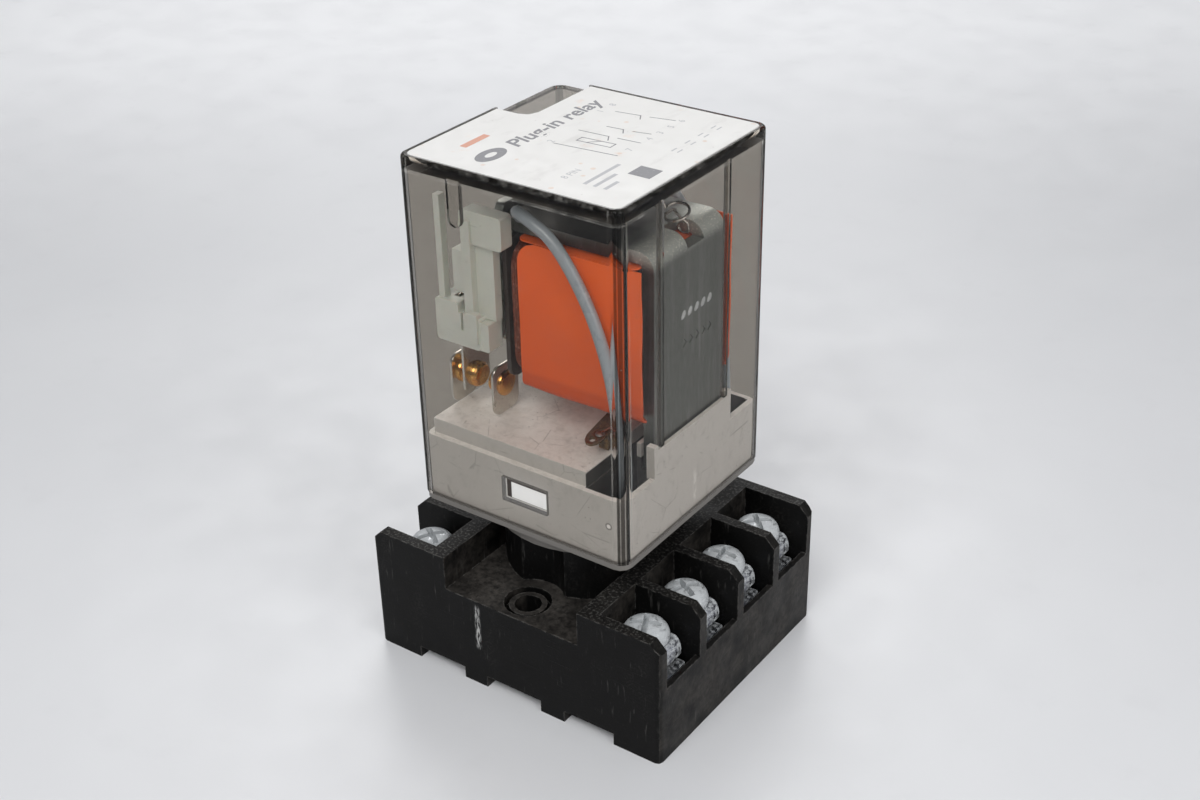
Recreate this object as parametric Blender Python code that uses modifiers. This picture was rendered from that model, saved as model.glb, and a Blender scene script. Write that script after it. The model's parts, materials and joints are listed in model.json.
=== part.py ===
"""Plug-in relay on eight pins, standing in its screw-terminal socket.

Metres, +Z up. The origin is the centre of the socket's underside. +X runs along the socket's
long side, from one row of terminals to the other, and -Y is the front.
"""

import math

import bmesh
import bpy
from mathutils import Matrix, Vector

MM = 0.001
GAP = 0.3 * MM
MERGE = 0.00001

# Socket: two rows of four screw terminals with a platform between them.
SOCKET_X = 25.5 * MM
SOCKET_Y = 21.0 * MM
FOOT_TOP = 1.9 * MM
FOOT_INNER_X = 17.7 * MM
RIB_X = (4.9 * MM, 9.1 * MM)
RIB_LENGTH = 4.0 * MM
LOW_WALL_TOP = 12.3 * MM
PLATFORM_TOP = 15.0 * MM
TOWER_TOP = 20.4 * MM
TOWER_INNER_X = 11.8 * MM
TOWER_WALL = 2.8 * MM
OUTER_WALL = 0.9 * MM
PARTITION = 1.6 * MM
TOWER_CHAMFER = 1.6 * MM
TERMINAL_PITCH = 10.0 * MM
TERMINAL_X = 19.2 * MM
POCKET_FLOOR = 9.5 * MM
SCREW_BORE_RADIUS = 2.0 * MM
SCREW_BORE_FLOOR = 4.0 * MM
MOUNT_HOLE_Y = 16.7 * MM
MOUNT_RECESS_RADIUS = 3.5 * MM
MOUNT_RECESS_DEPTH = 1.6 * MM
MOUNT_COLLAR_RADIUS = 2.8 * MM
MOUNT_COLLAR_DROP = 0.4 * MM
MOUNT_HOLE_RADIUS = 2.0 * MM

# Raised block that takes the relay's pins.
OCTAL_RADIUS = 13.4 * MM
OCTAL_TOP = 23.6 * MM
SCOOP_RADIUS = 5.4 * MM
PIN_CIRCLE = 8.725 * MM
PIN_RADIUS = 1.18 * MM
PIN_TIP = 13.4 * MM
PIN_HOLE_RADIUS = 1.6 * MM
PIN_HOLE_FLOOR = 11.8 * MM
KEY_RADIUS = 3.95 * MM
KEY_HOLE_RADIUS = 4.4 * MM
KEY_RIB_REACH = 5.0 * MM
KEY_RIB_WIDTH = 1.2 * MM

# Terminal hardware.
TERMINAL_TOP = 10.9 * MM
TERMINAL_THICK = 1.1 * MM
TERMINAL_SIZE = (8.6 * MM, 7.6 * MM)
CLAMP_LOW = 14.4 * MM
CLAMP_THICK = 0.9 * MM
CLAMP_SIZE = (7.6 * MM, 6.8 * MM)
CLAMP_TAIL = 2.0 * MM
HEAD_RADIUS = 3.5 * MM
HEAD_HEIGHT = 2.9 * MM
SHANK_RADIUS = 1.6 * MM
SHANK_LENGTH = 10.0 * MM

# Relay case: a clear cover over a moulded base.
RELAY_HALF = 17.75 * MM
RELAY_BOTTOM = 27.4 * MM
RELAY_TOP = 80.0 * MM
FLANGE = 0.8 * MM
BOSS_RADIUS = 14.8 * MM
BOSS_BOTTOM = 23.9 * MM
COVER_WALL = 0.9 * MM
COVER_CORNER = 1.8 * MM
COVER_CEILING = 78.0 * MM
COVER_BOTTOM = RELAY_BOTTOM + FLANGE + 0.1 * MM
LABEL_FLOOR = 79.7 * MM
LABEL_THICK = 0.2 * MM
LABEL_INSET = 0.7 * MM
PICK_X = -11.6 * MM
PICK_Y = 3.0 * MM
PICK_FLOOR = 78.9 * MM
WINDOW_X = (-2.8 * MM, 4.9 * MM)
WINDOW_Z = (32.0 * MM, 35.8 * MM)
COVER_RIB_Y = 8.0 * MM
BASE_HALF = RELAY_HALF - COVER_WALL - 0.15 * MM
SKIRT_TOP = 38.0 * MM
TERRACE_TOP = 40.3 * MM
TERRACE_END_X = 10.6 * MM
SEAT_TOP = 42.2 * MM
SEAT_Y = 9.3 * MM
WELL_FLOOR = 28.7 * MM
WELL_WALL = 0.8 * MM
WELL_START_X = TERRACE_END_X + 0.3 * MM
TROUGH_END_X = 13.2 * MM
POST_X = 15.4 * MM
POST_Y = (8.75 * MM, 9.7 * MM)
POST_TOP = 42.9 * MM

# Magnet: a steel angle carries the coil's core, and the armature hangs at its left end.
YOKE_X = (-7.9 * MM, 15.9 * MM)
YOKE_Y = 8.5 * MM
YOKE_Z = (38.5 * MM, 70.5 * MM)
YOKE_THICK = 1.8 * MM
YOKE_BEND = 2.4 * MM
LEG_GAP = 0.25 * MM
NOTCH_Y = (-0.6 * MM, 3.4 * MM)
NOTCH_X = 11.8 * MM
NOTCH_Z = 68.4 * MM
CORE_Z = 57.4 * MM
CORE_X = (-6.9 * MM, 13.8 * MM)
CORE_HALF = (4.3 * MM, 2.6 * MM)
GROOVE_Y = (-0.1 * MM, 1.2 * MM)
BOBBIN_X = (-6.6 * MM, 13.4 * MM)
BOBBIN_HALF = (10.2 * MM, 10.5 * MM)
FLANGE_THICK = 0.8 * MM
BOBBIN_WALL = 0.8 * MM
WINDING_HALF = (9.9 * MM, 10.1 * MM)
WINDING_CORNER = 3.5 * MM
TAPE_X = (-3.4 * MM, 15.6 * MM)
TAPE_HALF = 11.2 * MM
TAPE_Z = (46.4 * MM, 68.9 * MM)
TAPE_THICK = 0.35 * MM
PIVOT = (-8.2 * MM, 0.0, 70.6 * MM)
ARMATURE_X = (-9.6 * MM, -8.2 * MM)
ARMATURE_Z = (50.6 * MM, 71.6 * MM)
ARMATURE_HALF = 7.5 * MM
TAIL_TOP = 75.0 * MM

# Return spring: close coils along X, then a hook that hangs in the yoke's notch.
SPRING_HEIGHT = 73.6 * MM
SPRING_RADIUS = 1.1 * MM
SPRING_WIRE = 0.22 * MM
SPRING_X = (-6.0 * MM, 10.2 * MM)
SPRING_TURNS = 12
HOOK_HOLE_RADIUS = 0.75 * MM
HOOK_RADIUS = 1.3 * MM
HOOK_X = 13.6 * MM
HOOK_Z = 70.4 * MM

# Contacts, the same at the front and at the rear.
CONTACT_Y = 8.8 * MM
CONTACT_Z = 45.0 * MM
BLADE_THICK = 0.4 * MM
BLADE_HALF = 2.8 * MM
BLADE_TOP = 48.2 * MM
CLOSED_BLADE_X = -15.7 * MM
MOVING_BLADE_X = -13.4 * MM
OPEN_BLADE_X = -8.3 * MM
RIVET_RADIUS = 1.9 * MM
PIGTAIL_RADIUS = 0.85 * MM
MOVING_BLADE_Z = (43.0 * MM, 59.0 * MM)
BLADE_CORNER = 1.4 * MM
MOVING_CORNER = 0.6 * MM
RIVET_HEADS = {"closed": (0.5 * MM, 0.8 * MM), "moving": (1.1 * MM, 1.1 * MM), "open": (1.65 * MM, 0.5 * MM)}

# Contact carrier, in millimetres: a low corner and a high one for the rear half of each block,
# with its corner radius. The front half is its mirror image.
CARRIER_BAR = ((-13.0, -12.8, 60.0), (-9.9, 12.8, 66.0))
CARRIER_BLOCKS = (
    ("top_block", (-11.2, 10.5, 67.4), (-4.4, 12.8, 72.2), 0.5),
    ("rib", (-10.9, 10.9, 52.2), (-9.4, 13.3, 70.9), 0.3),
    ("web", (-10.0, 10.8, 56.5), (-6.4, 12.2, 68.0), 0.0),
    ("lower_block", (-15.9, 7.9, 52.0), (-8.2, 13.6, 57.0), 0.5),
    ("lower_nose", (-8.8, 10.6, 52.1), (-6.8, 13.5, 56.4), 0.3),
    ("lower_step", (-15.9, 9.0, 56.0), (-11.9, 13.6, 58.4), 0.4),
    ("lower_back", (-15.9, 5.4, 52.0), (-9.9, 8.5, 57.0), 0.3),
    ("knob", (-10.4, 13.0, 53.0), (-8.4, 14.0, 57.6), 0.3),
    ("wedge_high", (-13.2, 11.2, 63.6), (-10.6, 12.6, 65.2), 0.0),
    ("wedge_low", (-13.2, 11.2, 59.6), (-10.6, 12.6, 61.6), 0.0),
    ("upright", (-15.4, 12.0, 57.0), (-14.4, 13.2, 73.5), 0.0),
)
BLADE_SLOT_Z = (45.0 * MM, 59.5 * MM)
CLIP_SLOT = ((-11.5, 13.1, 54.4), (-11.1, 15.0, 61.0))

# Paths of the rear wires, in millimetres. The front ones are their mirror images.
LEAD_PATH = (
    (-3.3, 9.9, 71.8),
    (-2.6, 11.4, 73.2),
    (0.0, 12.4, 73.0),
    (3.3, 12.5, 71.3),
    (6.3, 12.5, 67.9),
    (9.4, 12.5, 62.6),
    (11.7, 12.5, 56.6),
    (13.2, 12.5, 49.8),
    (13.9, 12.5, 42.4),
    (14.0, 12.5, 29.4),
)
COIL_END_PATH = ((8.9, 13.0, 44.75), (9.9, 12.7, 45.2), (10.8, 12.0, 45.7), (12.4, 10.6, 45.9))
COIL_END_RADIUS = 0.25 * MM
TAB_X = (8.2 * MM, 11.0 * MM)
TAB_Y = (7.4 * MM, 13.8 * MM)
TAB_Z = (43.8 * MM, 44.3 * MM)
TAB_LEG_X = (8.6 * MM, 10.4 * MM)
TAB_LEG_Y = (9.6 * MM, 10.2 * MM)


def clear_scene():
    for obj in list(bpy.data.objects):
        bpy.data.objects.remove(obj, do_unlink=True)


def new_collection(name):
    collection = bpy.data.collections.new(name)
    bpy.context.scene.collection.children.link(collection)
    return collection


def material(name, colour, roughness, metallic=0.0, alpha=1.0):
    mat = bpy.data.materials.new(name)
    mat.use_nodes = True
    shader = mat.node_tree.nodes["Principled BSDF"]
    shader.inputs["Base Color"].default_value = (*colour, 1.0)
    shader.inputs["Roughness"].default_value = roughness
    shader.inputs["Metallic"].default_value = metallic
    shader.inputs["Alpha"].default_value = alpha
    return mat


clear_scene()
PARTS = new_collection("plug_in_relay")
CUTTERS = new_collection("cutters")

BLACK_PLASTIC = material("black_plastic", (0.03, 0.03, 0.03), 0.5)
GREY_PLASTIC = material("grey_plastic", (0.42, 0.40, 0.37), 0.45)
CARRIER_PLASTIC = material("carrier_plastic", (0.52, 0.53, 0.49), 0.4)
CLEAR_PLASTIC = material("smoked_plastic", (0.45, 0.42, 0.38), 0.08, alpha=0.35)
LABEL_PAPER = material("label_paper", (0.85, 0.84, 0.82), 0.5)
ZINC = material("zinc", (0.62, 0.64, 0.68), 0.35, 1.0)
BRASS = material("brass", (0.72, 0.50, 0.20), 0.3, 1.0)
STEEL = material("steel", (0.38, 0.40, 0.38), 0.4, 1.0)
NICKEL_SILVER = material("nickel_silver", (0.62, 0.58, 0.50), 0.3, 1.0)
COPPER = material("copper", (0.40, 0.16, 0.09), 0.35, 1.0)
TAPE_ORANGE = material("orange_tape", (0.72, 0.11, 0.03), 0.5)
BOBBIN_PLASTIC = material("bobbin_plastic", (0.10, 0.08, 0.07), 0.5)
WIRE_GREY = material("grey_wire", (0.24, 0.27, 0.29), 0.4)


def add_object(name, data, mat):
    obj = bpy.data.objects.new(name, data)
    PARTS.objects.link(obj)
    if mat is not None:
        data.materials.clear()
        data.materials.append(mat)
    return obj


def from_bmesh(name, bm, mat):
    mesh = bpy.data.meshes.new(name)
    bm.to_mesh(mesh)
    bm.free()
    return add_object(name, mesh, mat)


def box_into(bm, low, high):
    """Adds an axis-aligned box and returns its vertices."""
    size = [b - a for a, b in zip(low, high)]
    centre = [(a + b) / 2 for a, b in zip(low, high)]
    matrix = Matrix.Translation(centre) @ Matrix.Diagonal((*size, 1.0))
    return bmesh.ops.create_cube(bm, size=1.0, matrix=matrix)["verts"]


def rod_into(bm, start, end, radius, sides=16):
    """Adds a cylinder from start to end."""
    start = Vector(start)
    axis = Vector(end) - start
    turn = Vector((0, 0, 1)).rotation_difference(axis).to_matrix().to_4x4()
    bmesh.ops.create_cone(
        bm,
        cap_ends=True,
        segments=sides,
        radius1=radius,
        radius2=radius,
        depth=axis.length,
        matrix=Matrix.Translation(start + axis / 2) @ turn,
    )


def round_edges(bm, direction, radius, segments):
    """Bevels every edge that runs along the given axis (0, 1 or 2)."""
    edges = []
    for edge in bm.edges:
        run = edge.verts[1].co - edge.verts[0].co
        if abs(run[direction]) > 0.99 * run.length:
            edges.append(edge)
    bmesh.ops.bevel(
        bm,
        geom=edges,
        offset=radius,
        segments=segments,
        profile=0.5,
        affect="EDGES",
        clamp_overlap=True,
    )


def box(name, low, high, mat, corner=0.0, direction=2, segments=2):
    bm = bmesh.new()
    box_into(bm, low, high)
    if corner:
        round_edges(bm, direction, corner, segments)
    return from_bmesh(name, bm, mat)


def boxes(name, bounds):
    """Several boxes that don't touch, in one mesh."""
    bm = bmesh.new()
    for low, high in bounds:
        box_into(bm, low, high)
    return from_bmesh(name, bm, None)


def rods(name, ends, radius, sides=16):
    """Several cylinders that don't touch, in one mesh."""
    bm = bmesh.new()
    for start, end in ends:
        rod_into(bm, start, end, radius, sides)
    return from_bmesh(name, bm, None)


def combine(target, tool, operation="DIFFERENCE"):
    """Cuts the tool out of the target, or joins it on, and hides the tool."""
    for collection in list(tool.users_collection):
        collection.objects.unlink(tool)
    CUTTERS.objects.link(tool)
    tool.hide_render = True
    tool.display_type = "WIRE"
    modifier = target.modifiers.new(tool.name, "BOOLEAN")
    modifier.operation = operation
    modifier.solver = "EXACT"
    modifier.object = tool
    return target


def turned(name, profile, mat, steps=16):
    """Spins a profile of (radius, height) points, listed top to bottom, about Z."""
    bm = bmesh.new()
    points = [bm.verts.new((radius, 0.0, height)) for radius, height in profile]
    for first, second in zip(points, points[1:]):
        bm.edges.new((first, second))
    obj = from_bmesh(name, bm, mat)
    spin = obj.modifiers.new("turn", "SCREW")
    spin.steps = steps
    spin.render_steps = steps
    spin.use_merge_vertices = True
    spin.merge_threshold = MERGE
    spin.use_smooth_shade = True
    return obj


def baked(obj):
    """The evaluated mesh of an object, in its own axes."""
    bpy.context.view_layer.update()
    depsgraph = bpy.context.evaluated_depsgraph_get()
    mesh = bpy.data.meshes.new_from_object(obj.evaluated_get(depsgraph))
    mesh.name = obj.name
    return mesh


def bake(obj):
    """Replaces an object's mesh by its evaluated one and drops the tools it used."""
    mesh = baked(obj)
    tools = [m.object for m in obj.modifiers if m.type == "BOOLEAN"]
    obj.modifiers.clear()
    obj.data = mesh
    for tool in tools:
        bpy.data.objects.remove(tool, do_unlink=True)
    return obj


def wire(name, points, radius, mat, sides=2):
    """A round wire through the points, as a mesh with welded caps."""
    curve = bpy.data.curves.new(name, "CURVE")
    curve.dimensions = "3D"
    curve.bevel_depth = radius
    curve.bevel_resolution = sides
    curve.use_fill_caps = True
    spline = curve.splines.new("POLY")
    spline.points.add(len(points) - 1)
    for point, place in zip(spline.points, points):
        point.co = (*place, 1.0)
    guide = add_object(name + "_curve", curve, mat)
    mesh = baked(guide)
    bpy.data.objects.remove(guide, do_unlink=True)
    bm = bmesh.new()
    bm.from_mesh(mesh)
    bmesh.ops.remove_doubles(bm, verts=bm.verts, dist=MERGE)
    bm.to_mesh(mesh)
    bm.free()
    return add_object(name, mesh, mat)


def smooth(obj, angle=35):
    obj.data.shade_smooth()
    obj.data.set_sharp_from_angle(angle=math.radians(angle))
    return obj


def smooth_path(points, steps):
    """Points along a smooth path through the given ones (Catmull-Rom)."""
    ends = [Vector(points[0]) * 2 - Vector(points[1])]
    ends += [Vector(p) for p in points]
    ends.append(Vector(points[-1]) * 2 - Vector(points[-2]))
    path = []
    for i in range(1, len(ends) - 2):
        a, b, c, d = ends[i - 1 : i + 3]
        for k in range(steps):
            t = k / steps
            square = 2 * a - 5 * b + 4 * c - d
            cube = 3 * b - a - 3 * c + d
            path.append(0.5 * (2 * b + (c - a) * t + square * t**2 + cube * t**3))
    path.append(ends[-2])
    return path


def pin_angles():
    """The eight pins, 45 degrees apart, with the key between the first and the last."""
    return [math.radians(-90 + 22.5 + 45 * i) for i in range(8)]


def mirrored(points, side):
    """Points given in millimetres for the rear half, put on the wanted side, in metres."""
    return [Vector((x, side * y, z)) * MM for x, y, z in points]


def pin_places():
    return [(PIN_CIRCLE * math.cos(a), PIN_CIRCLE * math.sin(a)) for a in pin_angles()]


def terminal_places():
    """Side (-1 or 1) and centre y of each compartment: 1 to 4 on the left, 5 to 8 on the right."""
    rows = [TERMINAL_PITCH * (i - 1.5) for i in range(4)]
    return [(side, y) for side in (-1, 1) for y in rows]


def side_box(side, x_range, y_range, z_range):
    """A box given for the +X side, put on the wanted side."""
    xs = sorted(side * x for x in x_range)
    return (xs[0], y_range[0], z_range[0]), (xs[1], y_range[1], z_range[1])


# ---------------------------------------------------------------- socket


def build_socket_body():
    high = 30 * MM
    low, top = (-SOCKET_X, -SOCKET_Y, 0), (SOCKET_X, SOCKET_Y, TOWER_TOP)
    body = box("socket_body", low, top, BLACK_PLASTIC, 0.8 * MM)

    pockets = [((-TOWER_INNER_X, -high, PLATFORM_TOP), (TOWER_INNER_X, high, high))]
    openings = []
    pocket_x = (TOWER_INNER_X + TOWER_WALL, SOCKET_X - OUTER_WALL)
    for side, y in terminal_places():
        half = (TERMINAL_PITCH - PARTITION) / 2
        pockets.append(side_box(side, pocket_x, (y - half, y + half), (POCKET_FLOOR, high)))
        openings.append(side_box(side, (pocket_x[1] - MM, high), (y - half, y + half), (LOW_WALL_TOP, high)))
    combine(body, boxes("pocket_tool", pockets))
    combine(body, boxes("opening_tool", openings))

    chamfer = bmesh.new()
    reach = 2 * SOCKET_Y
    for side in (-1, 1):
        verts = box_into(chamfer, (-5 * MM, -reach, -5 * MM), (5 * MM, reach, 5 * MM))
        turn = Matrix.Rotation(math.radians(45), 4, "Y")
        offset = 5 * MM - TOWER_CHAMFER / math.sqrt(2)
        step = offset * math.sqrt(0.5)
        shift = Matrix.Translation((side * (SOCKET_X + step), 0, TOWER_TOP + step))
        bmesh.ops.transform(chamfer, matrix=shift @ turn, verts=verts)
    combine(body, from_bmesh("chamfer_tool", chamfer, None))

    below = -2 * MM
    reach = SOCKET_Y - RIB_LENGTH
    channels = [((-FOOT_INNER_X, -reach, below), (FOOT_INNER_X, reach, FOOT_TOP))]
    for low_y, high_y in ((-high, -reach + MM), (reach - MM, high)):
        channels.append(((-RIB_X[0], low_y, below), (RIB_X[0], high_y, FOOT_TOP)))
        channels.append(((RIB_X[1], low_y, below), (FOOT_INNER_X, high_y, FOOT_TOP)))
        channels.append(((-FOOT_INNER_X, low_y, below), (-RIB_X[1], high_y, FOOT_TOP)))
    combine(body, boxes("channel_tool", channels[:1]))
    combine(body, boxes("rib_tool", channels[1:]))

    recesses, collars, holes = [], [], []
    recess_floor = PLATFORM_TOP - MOUNT_RECESS_DEPTH
    for y in (-MOUNT_HOLE_Y, MOUNT_HOLE_Y):
        recesses.append(((0, y, recess_floor), (0, y, high)))
        collars.append(((0, y, recess_floor - MM), (0, y, PLATFORM_TOP - MOUNT_COLLAR_DROP)))
        holes.append(((0, y, -high), (0, y, high)))
    combine(body, rods("recess_tool", recesses, MOUNT_RECESS_RADIUS, 20))
    combine(body, rods("collar_tool", collars, MOUNT_COLLAR_RADIUS, 20), "UNION")
    combine(body, rods("mount_hole_tool", holes, MOUNT_HOLE_RADIUS, 16))

    bores = [((s * TERMINAL_X, y, SCREW_BORE_FLOOR), (s * TERMINAL_X, y, high)) for s, y in terminal_places()]
    combine(body, rods("bore_tool", bores, SCREW_BORE_RADIUS, 10))

    block = bmesh.new()
    rod_into(block, (0, 0, PLATFORM_TOP - 2 * MM), (0, 0, OCTAL_TOP), OCTAL_RADIUS, 40)
    octal = from_bmesh("octal_block", block, None)
    scoops = [((0, s * MOUNT_HOLE_Y, PLATFORM_TOP - 3 * MM), (0, s * MOUNT_HOLE_Y, high)) for s in (-1, 1)]
    combine(octal, rods("scoop_tool", scoops, SCOOP_RADIUS, 24))
    flats = [side_box(s, (TOWER_INNER_X, high), (-high, high), (TOWER_TOP, high)) for s in (-1, 1)]
    combine(octal, boxes("flat_tool", flats))
    bake(octal)
    combine(body, octal, "UNION")

    holes = [((x, y, PIN_HOLE_FLOOR), (x, y, high)) for x, y in pin_places()]
    combine(body, rods("pin_hole_tool", holes, PIN_HOLE_RADIUS, 12))
    combine(body, rods("key_hole_tool", [((0, 0, PIN_HOLE_FLOOR), (0, 0, high))], KEY_HOLE_RADIUS, 24))
    keyway = KEY_RIB_WIDTH / 2 + GAP
    slot = ((-keyway, -KEY_RIB_REACH - GAP, PIN_HOLE_FLOOR), (keyway, 0, high))
    combine(body, boxes("keyway_tool", [slot]))
    return body


def build_terminals():
    """A tapped strip, a saddle clamp and a pan-head screw in each compartment."""
    half_x, half_y = TERMINAL_SIZE[0] / 2, TERMINAL_SIZE[1] / 2
    strip = box("strip", (-half_x, -half_y, -TERMINAL_THICK), (half_x, half_y, 0), ZINC)
    through = ((0, 0, -5 * MM), (0, 0, 5 * MM))
    combine(strip, rods("strip_hole", [through], SCREW_BORE_RADIUS, 12))
    bake(strip)

    half_x, half_y = CLAMP_SIZE[0] / 2, CLAMP_SIZE[1] / 2
    clamp = box("clamp", (-half_x, -half_y, -CLAMP_TAIL), (half_x, half_y, CLAMP_THICK), ZINC, 0.7 * MM, 1)
    hollow = ((-half_x + CLAMP_THICK, -5 * MM, -5 * MM), (half_x - CLAMP_THICK, 5 * MM, 0))
    combine(clamp, boxes("clamp_hollow", [hollow]))
    combine(clamp, rods("clamp_hole", [through], SCREW_BORE_RADIUS, 12))
    bake(clamp)

    profile = [
        (0.0, HEAD_HEIGHT),
        (0.45 * HEAD_RADIUS, 0.96 * HEAD_HEIGHT),
        (0.8 * HEAD_RADIUS, 0.78 * HEAD_HEIGHT),
        (0.97 * HEAD_RADIUS, 0.5 * HEAD_HEIGHT),
        (HEAD_RADIUS, 0.25 * HEAD_HEIGHT),
        (0.96 * HEAD_RADIUS, 0.0),
        (SHANK_RADIUS, 0.0),
        (SHANK_RADIUS, -SHANK_LENGTH + 0.5 * MM),
        (SHANK_RADIUS - 0.5 * MM, -SHANK_LENGTH),
        (0.0, -SHANK_LENGTH),
    ]
    screw = turned("screw", profile, ZINC, 16)
    slot, reach, floor = 0.45 * MM, 2.0 * MM, 1.0 * MM
    combine(screw, boxes("slot_x", [((-reach, -slot, floor), (reach, slot, 5 * MM))]))
    combine(screw, boxes("slot_y", [((-slot, -reach, floor), (slot, reach, 5 * MM))]))
    bake(screw)

    for number, (side, y) in enumerate(terminal_places(), 1):
        x = side * TERMINAL_X
        plate = add_object("terminal_%d" % number, strip.data, ZINC)
        plate.location = (x, y, TERMINAL_TOP)
        saddle = add_object("clamp_plate_%d" % number, clamp.data, ZINC)
        saddle.location = (x, y, CLAMP_LOW)
        head = add_object("terminal_screw_%d" % number, screw.data, ZINC)
        head.location = (x, y, CLAMP_LOW + CLAMP_THICK + GAP)
        head.rotation_euler.z = math.radians(37 * number % 90)
    for pattern in (strip, clamp, screw):
        bpy.data.objects.remove(pattern, do_unlink=True)


# ---------------------------------------------------------------- relay case


def build_base():
    """Grey moulding: flange, skirt, terrace, the yoke's seat, the round boss and the key post."""
    low, high = -BASE_HALF, BASE_HALF
    foot = (low, low, RELAY_BOTTOM + 0.4 * MM)
    base = box("relay_base", foot, (high, high, SKIRT_TOP), GREY_PLASTIC, 1.0 * MM)
    rim = RELAY_HALF - 0.1 * MM
    edge = (rim, rim, RELAY_BOTTOM + FLANGE)
    flange = box("flange", (-rim, -rim, RELAY_BOTTOM), edge, None, COVER_CORNER, 2, 3)
    combine(base, flange, "UNION")
    inset = BASE_HALF - 0.9 * MM
    terrace = box("terrace", (-inset, -inset, SKIRT_TOP - MM), (TERRACE_END_X, inset, TERRACE_TOP), None)
    combine(base, terrace, "UNION")
    seat = box("seat", (TERRACE_END_X - MM, -SEAT_Y, SKIRT_TOP - MM), (high, SEAT_Y, SEAT_TOP), None)
    combine(base, seat, "UNION")
    combine(base, rods("boss", [((0, 0, BOSS_BOTTOM), (0, 0, RELAY_BOTTOM + MM))], BOSS_RADIUS, 40), "UNION")
    post = [((0, 0, PIN_TIP - 0.6 * MM), (0, 0, BOSS_BOTTOM + MM))]
    combine(base, rods("post", post, KEY_RADIUS, 20), "UNION")
    key_half = KEY_RIB_WIDTH / 2
    key = ((-key_half, -KEY_RIB_REACH, PIN_TIP), (key_half, 0, BOSS_BOTTOM + MM))
    combine(base, boxes("key", [key]), "UNION")

    leg_x = (YOKE_X[1] - YOKE_THICK - LEG_GAP, YOKE_X[1] + LEG_GAP)
    leg_y = YOKE_Y + LEG_GAP
    slot = ((leg_x[0], -leg_y, YOKE_Z[0] - LEG_GAP), (leg_x[1], leg_y, 60 * MM))
    combine(base, boxes("leg_tool", [slot]))
    trough = ((WELL_START_X, -leg_y - MM, WELL_FLOOR), (TROUGH_END_X, leg_y + MM, 50 * MM))
    combine(base, boxes("trough_tool", [trough]))
    wells, ends = [], []
    inside = BASE_HALF - WELL_WALL
    for side in (-1, 1):
        ys = sorted((side * leg_y, side * inside))
        wells.append(((WELL_START_X, ys[0], WELL_FLOOR), (POST_X, ys[1], 50 * MM)))
        ys = sorted((side * POST_Y[1], side * inside))
        ends.append(((POST_X - MM, ys[0], WELL_FLOOR), (inside, ys[1], 50 * MM)))
    combine(base, boxes("well_tool", wells))
    combine(base, boxes("well_end_tool", ends))
    posts = []
    for side in (-1, 1):
        ys = sorted((side * POST_Y[0], side * POST_Y[1]))
        posts.append(((POST_X, ys[0], SKIRT_TOP - MM), (high, ys[1], POST_TOP)))
    combine(base, boxes("post_tool", posts), "UNION")
    mouths = [((x, y, BOSS_BOTTOM - MM), (x, y, RELAY_BOTTOM)) for x, y in pin_places()]
    combine(base, rods("mouth_tool", mouths, PIN_RADIUS + GAP, 12))
    return base


def build_pins():
    """Eight round contact pins, narrower at the tip."""
    top = RELAY_BOTTOM - GAP
    pin = turned(
        "pin",
        [
            (0.0, top),
            (PIN_RADIUS, top),
            (PIN_RADIUS, PIN_TIP + 0.8 * MM),
            (0.6 * PIN_RADIUS, PIN_TIP),
            (0.0, PIN_TIP),
        ],
        BRASS,
        12,
    )
    bake(pin)
    for number, (x, y) in enumerate(pin_places(), 1):
        copy = add_object("octal_pin_%d" % number, pin.data, BRASS)
        copy.location = (x, y, 0)
    smooth(copy)
    bpy.data.objects.remove(pin, do_unlink=True)


def build_cover():
    half = RELAY_HALF
    cover_bm = bmesh.new()
    box_into(cover_bm, (-half, -half, COVER_BOTTOM), (half, half, RELAY_TOP))
    round_edges(cover_bm, 2, COVER_CORNER, 4)
    top_edges = [e for e in cover_bm.edges if all(abs(v.co.z - RELAY_TOP) < MERGE for v in e.verts)]
    bmesh.ops.bevel(
        cover_bm, geom=top_edges, offset=0.5 * MM, segments=2, profile=0.5, affect="EDGES"
    )
    cover = from_bmesh("cover", cover_bm, CLEAR_PLASTIC)
    inner = half - COVER_WALL
    cavity = box("cavity", (-inner, -inner, 10 * MM), (inner, inner, COVER_CEILING), None, 0.9 * MM)
    ribs = []
    for y in (-COVER_RIB_Y, COVER_RIB_Y):
        ribs.append(((inner - 0.65 * MM, y - 0.4 * MM, SEAT_TOP + GAP), (inner + MM, y + 0.4 * MM, 90 * MM)))
    combine(cavity, boxes("cover_ribs", ribs))
    bake(cavity)
    combine(cover, cavity)
    label_half = half - LABEL_INSET
    floor = (-label_half, -label_half, LABEL_FLOOR)
    recess = box("label_recess", floor, (label_half, label_half, 90 * MM), None, 1.2 * MM)
    combine(cover, recess)
    pick = box("pick_recess", (-30 * MM, PICK_Y, PICK_FLOOR), (PICK_X, 30 * MM, 90 * MM), None, 1.8 * MM)
    combine(cover, pick)
    windows = []
    for side in (-1, 1):
        ys = sorted((side * (inner - MM), side * 30 * MM))
        windows.append(((WINDOW_X[0], ys[0], WINDOW_Z[0]), (WINDOW_X[1], ys[1], WINDOW_Z[1])))
    combine(cover, boxes("window_tool", windows))
    return cover


def build_label():
    """Thin printed card in the recess of the cover's top, cut out round the pick-up corner."""
    half = RELAY_HALF - LABEL_INSET - 0.15 * MM
    low_z = LABEL_FLOOR + 0.08 * MM
    high = (half, half, low_z + LABEL_THICK)
    label = box("label", (-half, -half, low_z), high, LABEL_PAPER, 1.1 * MM, 2, 3)
    clear = 0.4 * MM
    low = (-30 * MM, PICK_Y - clear, 70 * MM)
    corner = box("label_corner", low, (PICK_X + clear, 30 * MM, 90 * MM), None, 2.0 * MM)
    combine(label, corner)
    return label


# ---------------------------------------------------------------- magnet


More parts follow.
